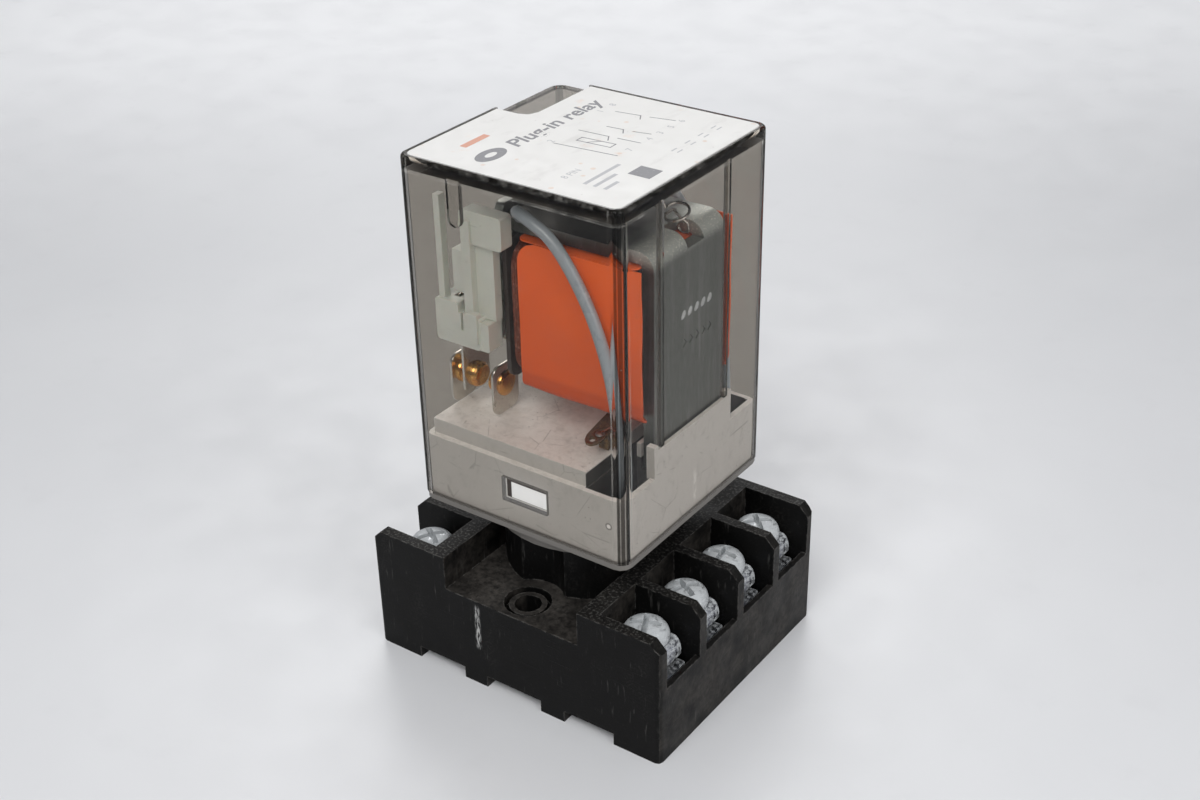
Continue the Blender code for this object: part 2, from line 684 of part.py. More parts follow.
def build_yoke():
    """Steel angle: a flat strip bent once, with a notch at the bend for the spring's hook."""
    low, high = YOKE_Z
    thick = YOKE_THICK
    yoke = box("yoke", (YOKE_X[0], -YOKE_Y, low), (YOKE_X[1], YOKE_Y, high), STEEL)
    bend_mesh = yoke.data
    bm = bmesh.new()
    bm.from_mesh(bend_mesh)
    bend = []
    for edge in bm.edges:
        if all(abs(v.co.x - YOKE_X[1]) < MERGE and abs(v.co.z - high) < MERGE for v in edge.verts):
            bend.append(edge)
    bmesh.ops.bevel(bm, geom=bend, offset=YOKE_BEND, segments=5, profile=0.5, affect="EDGES")
    bm.to_mesh(bend_mesh)
    bm.free()
    inside = box(
        "yoke_inside",
        (-30 * MM, -30 * MM, 0),
        (YOKE_X[1] - thick, 30 * MM, high - thick),
        None,
        YOKE_BEND - thick,
        1,
        3,
    )
    combine(yoke, inside)
    notch = ((NOTCH_X, NOTCH_Y[0], NOTCH_Z), (30 * MM, NOTCH_Y[1], 80 * MM))
    combine(yoke, boxes("notch_tool", [notch]))
    return yoke


def build_core():
    """Core bar, with a copper shading ring's leg set in a groove across its pole face."""
    half_y, half_z = CORE_HALF
    low_x, high_x = CORE_X
    core = box("core", (low_x, -half_y, CORE_Z - half_z), (high_x, half_y, CORE_Z + half_z), STEEL)
    depth = 0.9 * MM
    reach = 4 * MM
    low_y, high_y = GROOVE_Y
    groove = ((low_x - MM, low_y, CORE_Z - reach), (low_x + depth, high_y, CORE_Z + reach))
    combine(core, boxes("groove_tool", [groove]))
    side_gap = 0.2 * MM
    box(
        "shading_ring",
        (low_x - side_gap, low_y + side_gap, CORE_Z - half_z - side_gap),
        (low_x + depth - side_gap, high_y - side_gap, CORE_Z + half_z + side_gap),
        COPPER,
    )


def build_bobbin():
    half_y, half_z = BOBBIN_HALF
    core_y, core_z = CORE_HALF
    low, high = BOBBIN_X
    centre = CORE_Z
    bobbin = box(
        "coil_bobbin",
        (low, -half_y, centre - half_z),
        (high, half_y, centre + half_z),
        BOBBIN_PLASTIC,
        1.5 * MM,
        0,
    )
    wall = BOBBIN_WALL + GAP
    ring = box(
        "bobbin_ring",
        (low + FLANGE_THICK, -30 * MM, centre - 30 * MM),
        (high - FLANGE_THICK, 30 * MM, centre + 30 * MM),
        None,
    )
    keep = (
        (low - MM, -core_y - wall, centre - core_z - wall),
        (high + MM, core_y + wall, centre + core_z + wall),
    )
    combine(ring, boxes("bobbin_tube", [keep]))
    bake(ring)
    combine(bobbin, ring)
    bore = (
        (low - MM, -core_y - GAP, centre - core_z - GAP),
        (high + MM, core_y + GAP, centre + core_z + GAP),
    )
    combine(bobbin, boxes("bobbin_bore", [bore]))

    half_y, half_z = WINDING_HALF
    winding = box(
        "coil_winding",
        (low + FLANGE_THICK + GAP, -half_y, centre - half_z),
        (high - FLANGE_THICK - GAP, half_y, centre + half_z),
        COPPER,
        WINDING_CORNER,
        0,
        5,
    )
    wall += GAP
    bore = (
        (low - MM, -core_y - wall, centre - core_z - wall),
        (high + MM, core_y + wall, centre + core_z + wall),
    )
    combine(winding, boxes("winding_bore", [bore]))


def build_tape():
    """Insulating sheet round the coil's front, underside and rear."""
    low, high = TAPE_Z
    tape = box("coil_tape", (TAPE_X[0], -TAPE_HALF, low), (TAPE_X[1], TAPE_HALF, high), TAPE_ORANGE)
    bm = bmesh.new()
    bm.from_mesh(tape.data)
    corners = []
    for edge in bm.edges:
        first, second = edge.verts
        at_bottom = max(first.co.z, second.co.z) < low + MERGE
        if at_bottom and abs(first.co.x - second.co.x) > MM:
            corners.append(edge)
    bmesh.ops.bevel(bm, geom=corners, offset=1.5 * MM, segments=3, profile=0.5, affect="EDGES")
    bm.to_mesh(tape.data)
    bm.free()
    inner = TAPE_HALF - TAPE_THICK
    hollow = box(
        "tape_inside", (-30 * MM, -inner, low + TAPE_THICK), (30 * MM, inner, 90 * MM), None, 1.1 * MM, 0, 2
    )
    combine(tape, hollow)
    leg_x = YOKE_X[1] - YOKE_THICK - GAP
    clear = ((leg_x, -YOKE_Y - 1.2 * MM, low - MM), (30 * MM, YOKE_Y + 1.2 * MM, high + MM))
    combine(tape, boxes("tape_leg_tool", [clear]))
    return tape


def build_armature_group():
    """Armature, contact carrier and moving contacts, all on the hinge at the yoke's left end."""
    hinge = bpy.data.objects.new("armature_pivot", None)
    hinge.location = PIVOT
    PARTS.objects.link(hinge)
    low, high = ARMATURE_Z
    pieces = [
        box(
            "armature",
            (ARMATURE_X[0], -ARMATURE_HALF, low),
            (ARMATURE_X[1], ARMATURE_HALF, high),
            STEEL,
            1.0 * MM,
            0,
        )
    ]
    foot = (ARMATURE_X[0], NOTCH_Y[0], high - MM)
    tail = box("armature_tail", foot, (ARMATURE_X[1], NOTCH_Y[1], TAIL_TOP), None)
    combine(pieces[0], tail, "UNION")
    mid_y = sum(NOTCH_Y) / 2
    hook = ((-20 * MM, mid_y, SPRING_HEIGHT), (0, mid_y, SPRING_HEIGHT))
    combine(pieces[0], rods("hook_hole", [hook], HOOK_HOLE_RADIUS, 10))

    low, high = (Vector(corner) * MM for corner in CARRIER_BAR)
    carrier = box("contact_carrier", low, high, CARRIER_PLASTIC)
    for side, label in ((-1, "front"), (1, "rear")):
        for name, start, end, corner in CARRIER_BLOCKS:
            low, high = mirrored((start, end), side)
            low.y, high.y = sorted((low.y, high.y))
            block = box("%s_%s" % (name, label), low, high, None, corner * MM, 1)
            combine(carrier, block, "UNION")
    slots, clips = [], []
    half = BLADE_THICK / 2 + GAP
    for side in (-1, 1):
        ys = sorted((side * (CONTACT_Y - BLADE_HALF - GAP), side * (CONTACT_Y + BLADE_HALF + GAP)))
        low = (MOVING_BLADE_X - half, ys[0], BLADE_SLOT_Z[0])
        slots.append((low, (MOVING_BLADE_X + half, ys[1], BLADE_SLOT_Z[1])))
        low, high = mirrored(CLIP_SLOT, side)
        low.y, high.y = sorted((low.y, high.y))
        clips.append((low, high))
    combine(carrier, boxes("blade_slot_tool", slots))
    combine(carrier, boxes("clip_slot_tool", clips))
    pieces.append(carrier)

    low, high = MOVING_BLADE_Z
    for side, label in ((-1, "front"), (1, "rear")):
        pieces.append(build_blade("moving", label, MOVING_BLADE_X, side, low, high, MOVING_CORNER))
    bpy.context.view_layer.update()
    for piece in pieces:
        piece.parent = hinge
        piece.matrix_parent_inverse = hinge.matrix_world.inverted()


def build_blade(kind, label, x, side, low, high, corner):
    """Flat contact strip across Y with rounded corners, and the heads of its rivet on both faces."""
    name = "%s_contact_%s" % (kind, label)
    half = BLADE_THICK / 2
    y = side * CONTACT_Y
    blade = box(
        name,
        (x - half, y - BLADE_HALF, low),
        (x + half, y + BLADE_HALF, high),
        NICKEL_SILVER,
        corner,
        0,
        3,
    )
    left, right = RIVET_HEADS[kind]
    profile = [
        (0.0, half + right),
        (0.7 * RIVET_RADIUS, half + right),
        (RIVET_RADIUS, half + 0.5 * right),
        (RIVET_RADIUS, -half - 0.5 * left),
        (0.7 * RIVET_RADIUS, -half - left),
        (0.0, -half - left),
    ]
    rivet = turned(name + "_rivet", profile, None, 12)
    rivet.rotation_euler.y = math.radians(90)
    rivet.location = (x, y, CONTACT_Z)
    return combine(blade, rivet, "UNION")


def build_fixed_contacts():
    low = TERRACE_TOP + GAP
    for side, label in ((-1, "front"), (1, "rear")):
        build_blade("closed", label, CLOSED_BLADE_X, side, low, BLADE_TOP, BLADE_CORNER)
        build_blade("open", label, OPEN_BLADE_X, side, low, BLADE_TOP, BLADE_CORNER)


def build_coil_ends():
    """Brass tab under the coil at each side, with the winding's end soldered to it."""
    for side, label in ((-1, "front"), (1, "rear")):
        ys = sorted(side * y for y in TAB_Y)
        tab = box("coil_tab_" + label, (TAB_X[0], ys[0], TAB_Z[0]), (TAB_X[1], ys[1], TAB_Z[1]), BRASS)
        ys = sorted(side * y for y in TAB_LEG_Y)
        foot = (TAB_LEG_X[0], ys[0], TERRACE_TOP + GAP)
        leg = box("tab_leg", foot, (TAB_LEG_X[1], ys[1], TAB_Z[1] - 0.1 * MM), None)
        combine(tab, leg, "UNION")
        bake(tab)
        path = smooth_path(mirrored(COIL_END_PATH, side), 3)
        wire("coil_lead_" + label, path, COIL_END_RADIUS, COPPER, 1)


def build_pigtails():
    """Grey flexible leads from behind the carrier's top down into the wells of the base."""
    for side, label in ((-1, "front"), (1, "rear")):
        path = smooth_path(mirrored(LEAD_PATH, side), 3)
        smooth(wire("pigtail_" + label, path, PIGTAIL_RADIUS, WIRE_GREY, 2))


def build_spring():
    """Tension spring from the armature's tail to the notch at the yoke's bend."""
    y = sum(NOTCH_Y) / 2
    steps = 8
    start, end = SPRING_X
    points = [(ARMATURE_X[1] + 0.5 * MM, y, SPRING_HEIGHT)]
    count = SPRING_TURNS * steps
    for i in range(count + 1):
        angle = 2 * math.pi * i / steps
        x = start + (end - start) * i / count
        z = SPRING_HEIGHT + SPRING_RADIUS * (math.cos(angle) - 0.2)
        points.append((x, y + SPRING_RADIUS * math.sin(angle), z))
    points += [(end + 1.6 * MM, y, SPRING_HEIGHT - 0.5 * MM), (HOOK_X, y, HOOK_Z + HOOK_RADIUS)]
    for i in range(1, 9):
        angle = math.radians(30 * i)
        points.append((HOOK_X + HOOK_RADIUS * math.sin(angle), y, HOOK_Z + HOOK_RADIUS * math.cos(angle)))
    wire("return_spring", points, SPRING_WIRE, STEEL, 0)


build_socket_body()
build_terminals()
build_base()
build_pins()
build_cover()
build_label()
build_yoke()
build_core()
build_bobbin()
build_tape()
build_armature_group()
build_fixed_contacts()
build_coil_ends()
build_pigtails()
build_spring()
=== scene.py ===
"""Looks of the plug-in relay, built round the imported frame.

Metres, +Z up. The relay stands in its socket, -Y is the front, and +X is the side the camera
sees on the right.
"""

import json
import math
import random

import bmesh
import bpy
from mathutils import Matrix, Vector

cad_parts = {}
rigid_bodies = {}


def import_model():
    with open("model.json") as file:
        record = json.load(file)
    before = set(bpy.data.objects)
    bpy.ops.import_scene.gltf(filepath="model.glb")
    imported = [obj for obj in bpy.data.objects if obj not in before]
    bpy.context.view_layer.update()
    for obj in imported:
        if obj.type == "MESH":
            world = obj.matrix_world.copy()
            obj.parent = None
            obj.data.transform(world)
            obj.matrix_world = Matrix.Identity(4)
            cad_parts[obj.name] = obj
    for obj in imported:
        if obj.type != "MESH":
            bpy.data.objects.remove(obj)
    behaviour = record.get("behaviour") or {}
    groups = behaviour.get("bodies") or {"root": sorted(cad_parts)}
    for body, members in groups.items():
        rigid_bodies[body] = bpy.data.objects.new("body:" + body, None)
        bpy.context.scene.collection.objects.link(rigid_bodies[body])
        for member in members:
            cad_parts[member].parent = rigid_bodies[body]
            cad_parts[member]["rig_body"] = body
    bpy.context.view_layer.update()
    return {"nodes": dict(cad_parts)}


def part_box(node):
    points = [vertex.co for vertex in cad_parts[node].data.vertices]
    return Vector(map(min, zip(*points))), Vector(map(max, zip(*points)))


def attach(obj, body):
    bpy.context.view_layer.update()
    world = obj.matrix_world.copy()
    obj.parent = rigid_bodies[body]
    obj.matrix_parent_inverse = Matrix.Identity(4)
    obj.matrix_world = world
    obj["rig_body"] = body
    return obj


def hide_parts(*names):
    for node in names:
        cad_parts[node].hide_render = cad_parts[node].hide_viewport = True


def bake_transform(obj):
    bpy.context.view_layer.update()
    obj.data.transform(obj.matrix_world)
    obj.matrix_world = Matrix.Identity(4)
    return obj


MM = 0.001
# Corners closer than this, in metres, become one.
WELD = 0.000005
SIDES = ((-1, "front"), (1, "rear"))
NUMBERS = range(1, 9)
# Millimetres from here: the terminals, the contacts' centres, half the print's thickness.
SCREW_HOLE = 2.0
SCREW_SEAT = 15.6
CLAMP_SEAT = 14.4
CONTACT_Y = 8.8
CONTACT_Z = 45.0
INK_HALF = 0.004

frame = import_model()
NODES = frame["nodes"]


# --- node graphs


class Graph:
    """One material's node tree, with short calls for the nodes it uses. Lengths are millimetres."""

    def __init__(self, name):
        self.material = bpy.data.materials.new(name)
        self.material.use_nodes = True
        self.tree = self.material.node_tree
        self.tree.nodes.clear()
        self.output = self.add("ShaderNodeOutputMaterial")
        coords = self.add("ShaderNodeTexCoord").outputs["Object"]
        self.place = self.vector("SCALE", coords, scale=1 / MM)
        geometry = self.add("ShaderNodeNewGeometry")
        self.normal = self.split(geometry.outputs["Normal"])
        self.x, self.y, self.z = self.split(self.place)
        self.colour = None

    def add(self, kind, inputs=None, **settings):
        node = self.tree.nodes.new(kind)
        for key, value in settings.items():
            setattr(node, key, value)
        for key, value in (inputs or {}).items():
            self.feed(node.inputs[key], value)
        return node

    def feed(self, socket, value):
        if isinstance(value, bpy.types.NodeSocket):
            self.tree.links.new(value, socket)
        elif socket.type == "RGBA" and len(value) == 3:
            socket.default_value = (*value, 1.0)
        else:
            socket.default_value = value

    def split(self, vector):
        return self.add("ShaderNodeSeparateXYZ", {0: vector}).outputs

    def vector(self, operation, a, b=None, scale=None):
        inputs = {0: a}
        if b is not None:
            inputs[1] = b
        if scale is not None:
            inputs["Scale"] = scale
        return self.add("ShaderNodeVectorMath", inputs, operation=operation).outputs[0]

    def math(self, operation, a, b=0.0, c=0.0):
        return self.add("ShaderNodeMath", {0: a, 1: b, 2: c}, operation=operation).outputs[0]

    def times(self, *factors):
        result = factors[0]
        for factor in factors[1:]:
            result = self.math("MULTIPLY", result, factor)
        return result

    def ramp(self, value, low, high, start=0.0, end=1.0):
        """Value mapped smoothly from low..high to start..end and held at the ends."""
        inputs = {"Value": value, "From Min": low, "From Max": high, "To Min": start, "To Max": end}
        return self.add("ShaderNodeMapRange", inputs, interpolation_type="SMOOTHSTEP").outputs["Result"]

    def noise(self, size, detail=3.0, stretch=(1, 1, 1), rough=0.55):
        """Noise with features of about the given size."""
        place = self.vector("MULTIPLY", self.place, stretch)
        inputs = {"Vector": place, "Scale": 1 / size, "Detail": detail, "Roughness": rough}
        return self.add("ShaderNodeTexNoise", inputs).outputs["Fac"]

    def patches(self, low, high, *noise, **more):
        """0 where the noise is under low, 1 where it is over high."""
        return self.ramp(self.noise(*noise, **more), low, high)

    def cells(self, size, feature="F1"):
        inputs = {"Vector": self.place, "Scale": 1 / size}
        return self.add("ShaderNodeTexVoronoi", inputs, feature=feature).outputs["Distance"]

    def dots(self, size, near, far):
        """Scattered round dots: 1 up to near, 0 beyond far, as shares of the size."""
        return self.ramp(self.cells(size), near, far, 1.0, 0.0)

    def mix(self, factor, a, b):
        return self.add("ShaderNodeMix", {0: factor, 6: a, 7: b}, data_type="RGBA").outputs[2]

    def paint(self, colour, *factors):
        """Lays a colour over the one so far, as strongly as the product of the factors."""
        self.colour = self.mix(self.times(*factors), self.colour, colour)

    def bump(self, height, depth):
        inputs = {"Height": height, "Distance": depth * MM, "Strength": 1.0}
        return self.add("ShaderNodeBump", inputs).outputs["Normal"]

    def band(self, value, centre, half, soft):
        """1 within half of centre, falling to 0 over soft."""
        away = self.math("ABSOLUTE", self.math("SUBTRACT", value, centre))
        return self.ramp(away, half, half + soft, 1.0, 0.0)

    def edge(self, radius):
        """1 near edges sharper than the radius."""
        soft = self.add("ShaderNodeBevel", {"Radius": radius * MM}, samples=4).outputs[0]
        flat = self.add("ShaderNodeNewGeometry").outputs["Normal"]
        node = self.add("ShaderNodeVectorMath", {0: soft, 1: flat}, operation="DOT_PRODUCT")
        return self.ramp(self.math("SUBTRACT", 1.0, node.outputs["Value"]), 0.02, 0.25)

    def principled(self, colour, rough, normal=None, **more):
        inputs = {"Base Color": colour, "Roughness": rough}
        if normal is not None:
            inputs["Normal"] = normal
        inputs.update({key.replace("_", " "): value for key, value in more.items()})
        return self.add("ShaderNodeBsdfPrincipled", inputs).outputs[0]

    def mix_shader(self, factor, a, b):
        return self.add("ShaderNodeMixShader", {0: factor, 1: a, 2: b}).outputs[0]

    def coated(self, rough, height, depth, **more):
        """The material with the colour painted so far and a bump of a depth in millimetres."""
        return self.done(self.principled(self.colour, rough, self.bump(height, depth), **more))

    def done(self, shader):
        self.tree.links.new(shader, self.output.inputs["Surface"])
        return self.material


# --- materials


def clouded(name, first, second, *noise):
    """A graph whose first colour wanders between two, and the noise it follows."""
    g = Graph(name)
    cloud = g.noise(*noise)
    g.colour = g.mix(cloud, first, second)
    return g, cloud


def black_plastic():
    """Moulded phenolic: edges greyed as wear and as a painted edge highlight, brown dust on ledges,
    handling marks.
    """
    g, cloud = clouded("black_plastic", (0.0022, 0.0022, 0.0022), (0.0060, 0.0058, 0.0056), 6.0, 4.0)
    flecks = g.patches(0.6, 0.75, 0.5, 5.0)
    g.paint((0.045, 0.043, 0.04), flecks, 0.25)
    up = g.ramp(g.normal[2], 0.6, 0.95)
    ledge = g.band(g.z, 15.0, 0.4, 0.3)
    dust = g.patches(0.12, 0.9, 4.5, 6.0, rough=0.6)
    fine = g.patches(0.1, 0.75, 0.7, 4.0)
    cover = g.times(up, dust, fine)
    g.paint((0.105, 0.095, 0.085), cover, g.math("MULTIPLY_ADD", ledge, 0.60, 0.20))
    # Greyed edges: wear, and also a painted highlight along the edges.
    worn = g.times(g.edge(0.35), g.patches(0.40, 0.62, 0.9, 6.0))
    g.paint((0.17, 0.165, 0.155), worn, 0.6)
    crest = g.times(up, g.ramp(g.z, 19.0, 20.0), g.patches(0.5, 0.66, 0.4, 5.0))
    g.paint((0.12, 0.117, 0.11), crest, 0.5)
    front = g.ramp(g.normal[1], -0.6, -0.95)
    line = g.times(g.band(g.x, -6.1, 0.12, 0.55), g.band(g.z, 10.4, 3.0, 1.2), front)
    chalk = g.times(line, g.patches(0.4, 0.6, 0.7, 5.0, (2.5, 1, 0.6)))
    haze = g.times(g.patches(0.52, 0.7, 5.0, 6.0, (1, 1, 0.5)), g.patches(0.45, 0.65, 0.35, 3.0))
    g.paint((0.05, 0.047, 0.044), front, haze, 0.22)
    side = g.times(g.ramp(g.normal[0], 0.6, 0.95), g.patches(0.3, 0.65, 4.0, 6.0), fine)
    g.paint((0.046, 0.041, 0.036), side, 0.8)
    rubs = g.times(g.patches(0.60, 0.70, 0.5, 3.0, (1, 1, 0.12)), g.patches(0.45, 0.6, 5.0, 3.0))
    g.paint((0.10, 0.097, 0.092), rubs, 0.35)
    g.paint((0.42, 0.42, 0.41), chalk)
    scratch = g.patches(0.64, 0.72, 0.8, 2.0, (0.12, 0.12, 3.0))
    rough = g.ramp(cloud, 0.25, 0.75, 0.36, 0.52)
    rough = g.math("ADD", rough, g.times(cover, 0.35))
    height = g.math("ADD", g.times(g.noise(0.35, 4.0), 0.6), g.times(scratch, 0.25))
    return g.coated(rough, height, 0.03, Specular_IOR_Level=0.11)


def grey_plastic():
    """Pale warm grey moulding with hairlines, specks and dirt on the tops; tops and +X faces painted
    lighter as painted light, a painted highlight along the upper rim, painted shade in the trough recesses,
    and darker at the foot.
    """
    g, cloud = clouded("grey_plastic", (0.47, 0.452, 0.42), (0.535, 0.515, 0.48), 5.0, 4.0)
    # Painted light: upward faces painted much lighter.
    up = g.ramp(g.normal[2], 0.5, 0.9)
    g.paint((0.90, 0.865, 0.82), up, 0.9)
    # Painted light: faces towards +X painted lighter.
    side = g.ramp(g.normal[0], 0.6, 0.9)
    g.paint((0.66, 0.635, 0.60), side, 0.95)
    # Painted highlight along the edges of the upper rim near z 39.5.
    rim = g.times(g.edge(0.3), g.band(g.z, 39.5, 3.6, 0.3), g.patches(0.3, 0.6, 1.5, 4.0))
    g.paint((0.93, 0.91, 0.87), rim, 0.7)
    dirt = g.times(up, g.patches(0.42, 0.75, 1.2, 6.0, rough=0.7))
    g.paint((0.45, 0.41, 0.36), dirt, 0.38)
    hair = g.cells(5.5, "DISTANCE_TO_EDGE")
    warp = g.noise(3.0, 4.0)
    hair = g.times(g.ramp(hair, 0.004, 0.014, 1.0, 0.0), g.ramp(warp, 0.5, 0.6))
    g.paint((0.20, 0.185, 0.165), hair, 0.42)
    smear = g.patches(0.50, 0.74, 1.6, 6.0, (1, 1, 0.6), 0.7)
    g.paint((0.30, 0.285, 0.26), smear, 0.30)
    specks = g.dots(1.1, 0.07, 0.11)
    specks = g.times(specks, g.patches(0.5, 0.6, 2.5, 2.0))
    g.paint((0.12, 0.10, 0.085), specks, 0.7)
    scuff = g.times(g.band(g.y, 0.4, 0.12, 0.5), g.band(g.z, 31.9, 1.5, 1.5), side)
    scuff = g.times(scuff, g.patches(0.35, 0.6, 0.6, 5.0, (1, 1, 0.5)))
    g.paint((0.92, 0.90, 0.86), scuff, 0.8)
    front = g.ramp(g.normal[1], -0.6, -0.9)
    spot = g.math("POWER", g.math("SUBTRACT", g.x, 14.8), 2.0)
    spot = g.math("SQRT", g.math("ADD", spot, g.math("POWER", g.math("SUBTRACT", g.z, 33.7), 2.0)))
    g.paint((0.16, 0.15, 0.135), g.ramp(spot, 0.48, 0.62, 1.0, 0.0), front, 0.75)
    g.paint((0.88, 0.86, 0.82), g.ramp(spot, 0.26, 0.38, 1.0, 0.0), front)
    foot = g.ramp(g.z, 28.6, 28.2)
    g.paint((0.10, 0.092, 0.082), foot, 0.9)
    # Painted shade: the floors and walls of the trough recesses painted near black.
    inside = g.band(g.y, 0.0, 15.95, 0.05)
    high = g.times(g.band(g.x, 12.9, 2.35, 0.05), g.ramp(g.z, 40.25, 40.0))
    low = g.times(g.band(g.x, 13.4, 2.52, 0.03), g.ramp(g.z, 37.95, 37.7))
    recess_shade = g.times(g.math("MAXIMUM", high, low), inside)
    g.paint((0.022, 0.021, 0.019), recess_shade, 0.95)
    rough = g.ramp(cloud, 0.3, 0.7, 0.38, 0.52)
    height = g.math("SUBTRACT", g.noise(0.25, 3.0), g.times(hair, 0.4))
    return g.coated(rough, height, 0.012)


def carrier_plastic():
    """Pale grey-green nylon, a little translucent."""
    g, _ = clouded("carrier_plastic", (0.53, 0.55, 0.49), (0.64, 0.655, 0.59), 3.0, 3.0)
    grime = g.patches(0.6, 0.78, 1.3, 6.0)
    g.paint((0.42, 0.42, 0.37), grime, 0.3)
    rough = g.ramp(g.noise(0.8, 3.0), 0.3, 0.7, 0.32, 0.45)
    inside = {"Subsurface_Weight": 0.12, "Subsurface_Scale": 0.6 * MM}
    return g.coated(rough, g.noise(0.3, 3.0), 0.01, **inside)


def smoked_plastic():
    """Clear brownish polycarbonate. Light passes straight through; the eye sees it refract."""
    g = Graph("smoked_plastic")
    scuff = g.patches(0.5, 0.72, 7.0, 5.0)
    fine = g.patches(0.55, 0.75, 0.5, 4.0, (0.3, 1, 1))
    rough = g.times(scuff, fine, 0.16)
    height = g.noise(9.0, 1.0)
    normal = g.bump(height, 0.02)
    path = g.add("ShaderNodeLightPath").outputs
    # Painted shade: rays that have passed the near wall are tinted darker, standing for the shaded floor
    # behind.
    far = g.ramp(path["Transmission Depth"], 1.4, 1.6)
    tint = g.mix(far, (1.0, 1.0, 1.0), (0.67, 0.65, 0.615))
    # Painted shade: the upright corners and the top rim tinted dark, with a lighter painted streak left
    # along each corner.
    across, along = g.math("ABSOLUTE", g.x), g.math("ABSOLUTE", g.y)
    nearer, further = g.math("MINIMUM", across, along), g.math("MAXIMUM", across, along)
    corner = g.times(g.ramp(nearer, 16.45, 16.65), g.ramp(further, 16.6, 16.8))
    streak = g.band(nearer, 16.95, 0.02, 0.08)
    between = g.math("SUBTRACT", 1.0, g.times(streak, 0.6))
    dark = g.times(corner, between, g.ramp(g.z, 37.0, 44.0, 0.95, 0.75))
    dark = g.math("MAXIMUM", dark, g.times(g.ramp(g.z, 79.3, 79.6), 0.35))
    tint = g.mix(dark, tint, (0.10, 0.095, 0.09))
    inputs = {"Color": tint, "Roughness": rough, "IOR": 1.49, "Normal": normal}
    bend = g.add("ShaderNodeBsdfRefraction", inputs).outputs[0]
    shine = g.add("ShaderNodeBsdfAnisotropic", {"Roughness": 0.04, "Normal": normal}).outputs[0]
    fresnel = g.add("ShaderNodeFresnel", {"IOR": 1.40, "Normal": normal}).outputs[0]
    total = g.times(g.ramp(fresnel, 0.90, 0.99), g.ramp(g.z, 77.0, 77.6), 0.9)
    glass = g.mix_shader(g.math("MAXIMUM", g.times(fresnel, 0.5), total), bend, shine)
    # Pale diffuse for dust, film and scratches, and for painted highlight lines.
    haze = g.add("ShaderNodeBsdfDiffuse", {"Color": (0.55, 0.53, 0.49)}).outputs[0]
    dots = g.dots(1.4, 0.05, 0.085)
    dots = g.times(dots, g.patches(0.48, 0.6, 3.0, 2.0))
    film = g.ramp(g.noise(4.0, 6.0), 0.5, 0.85, 0.0, 0.012)
    scratch = g.patches(0.66, 0.71, 0.55, 2.0, (0.25, 0.25, 2.2))
    scratch = g.times(scratch, g.patches(0.50, 0.64, 4.0, 3.0), 0.16)
    film = g.math("MAXIMUM", film, scratch)
    # Painted highlights: thin pale lines along the corners and the inner ceiling edge.
    line = g.times(g.band(nearer, 15.95, 0.05, 0.12), g.ramp(further, 17.5, 17.7))
    line = g.times(line, g.patches(0.35, 0.6, 6.0, 3.0, (1, 1, 0.3)), 0.30)
    ceiling_highlight = g.times(g.band(g.z, 77.9, 0.05, 0.10), g.patches(0.35, 0.6, 5.0, 3.0), 0.32)
    line = g.math("MAXIMUM", line, ceiling_highlight)
    wear = g.times(g.ramp(g.z, 79.2, 79.7), g.patches(0.42, 0.75, 0.9, 6.0, rough=0.7), 0.20)
    # Dust, film, scratches and wear, together with the painted highlight lines.
    dust_and_light_lines = g.math("MAXIMUM", g.math("MAXIMUM", g.times(dots, 0.25), film), line)
    dust_and_light_lines = g.math("MAXIMUM", dust_and_light_lines, wear)
    seen = g.mix_shader(dust_and_light_lines, glass, haze)
    clear = g.add("ShaderNodeBsdfTransparent", {"Color": (1, 1, 1)}).outputs[0]
    direct = g.math("MAXIMUM", path["Is Camera Ray"], path["Is Transmission Ray"])
    shader = g.mix_shader(direct, clear, seen)
    volume = g.add("ShaderNodeVolumeAbsorption", {"Color": (0.17, 0.10, 0.01), "Density": 240.0})
    g.tree.links.new(volume.outputs[0], g.output.inputs["Volume"])
    return g.done(shader)


def label_card():
    """White card, stained orange and grey in places."""
    g, _ = clouded("label_card", (0.635, 0.625, 0.60), (0.705, 0.695, 0.675), 8.0, 3.0)
    spots = g.times(g.dots(2.6, 0.10, 0.17), g.patches(0.50, 0.60, 5.0, 3.0))
    g.paint((0.60, 0.36, 0.20), spots, 0.45)
    stain = g.times(g.patches(0.58, 0.74, 3.2, 5.0), g.patches(0.45, 0.65, 9.0, 2.0))
    g.paint((0.66, 0.42, 0.29), stain, 0.40)
    grey = g.patches(0.56, 0.75, 2.2, 6.0, (1, 0.4, 1))
    g.paint((0.36, 0.34, 0.32), grey, 0.22)
    specks = g.times(g.dots(1.5, 0.05, 0.09), g.patches(0.5, 0.62, 4.0, 2.0))
    g.paint((0.30, 0.24, 0.20), specks, 0.5)
    # Painted shade: the card's underside painted near black.
    back = g.ramp(g.normal[2], -0.4, -0.6)
    g.paint((0.05, 0.046, 0.04), back)
    rough = g.ramp(g.noise(2.0, 4.0), 0.3, 0.7, 0.28, 0.42)
    return g.coated(rough, g.noise(0.4, 3.0), 0.004)


def ink(name, colour):
    """Printing ink, worn thin in places."""
    g = Graph(name)
    wear = g.patches(0.55, 0.85, 0.5, 5.0)
    paler = tuple(0.7 * value + 0.2 for value in colour)
    return g.done(g.principled(g.mix(wear, colour, paler), g.ramp(wear, 0, 1, 0.35, 0.5)))


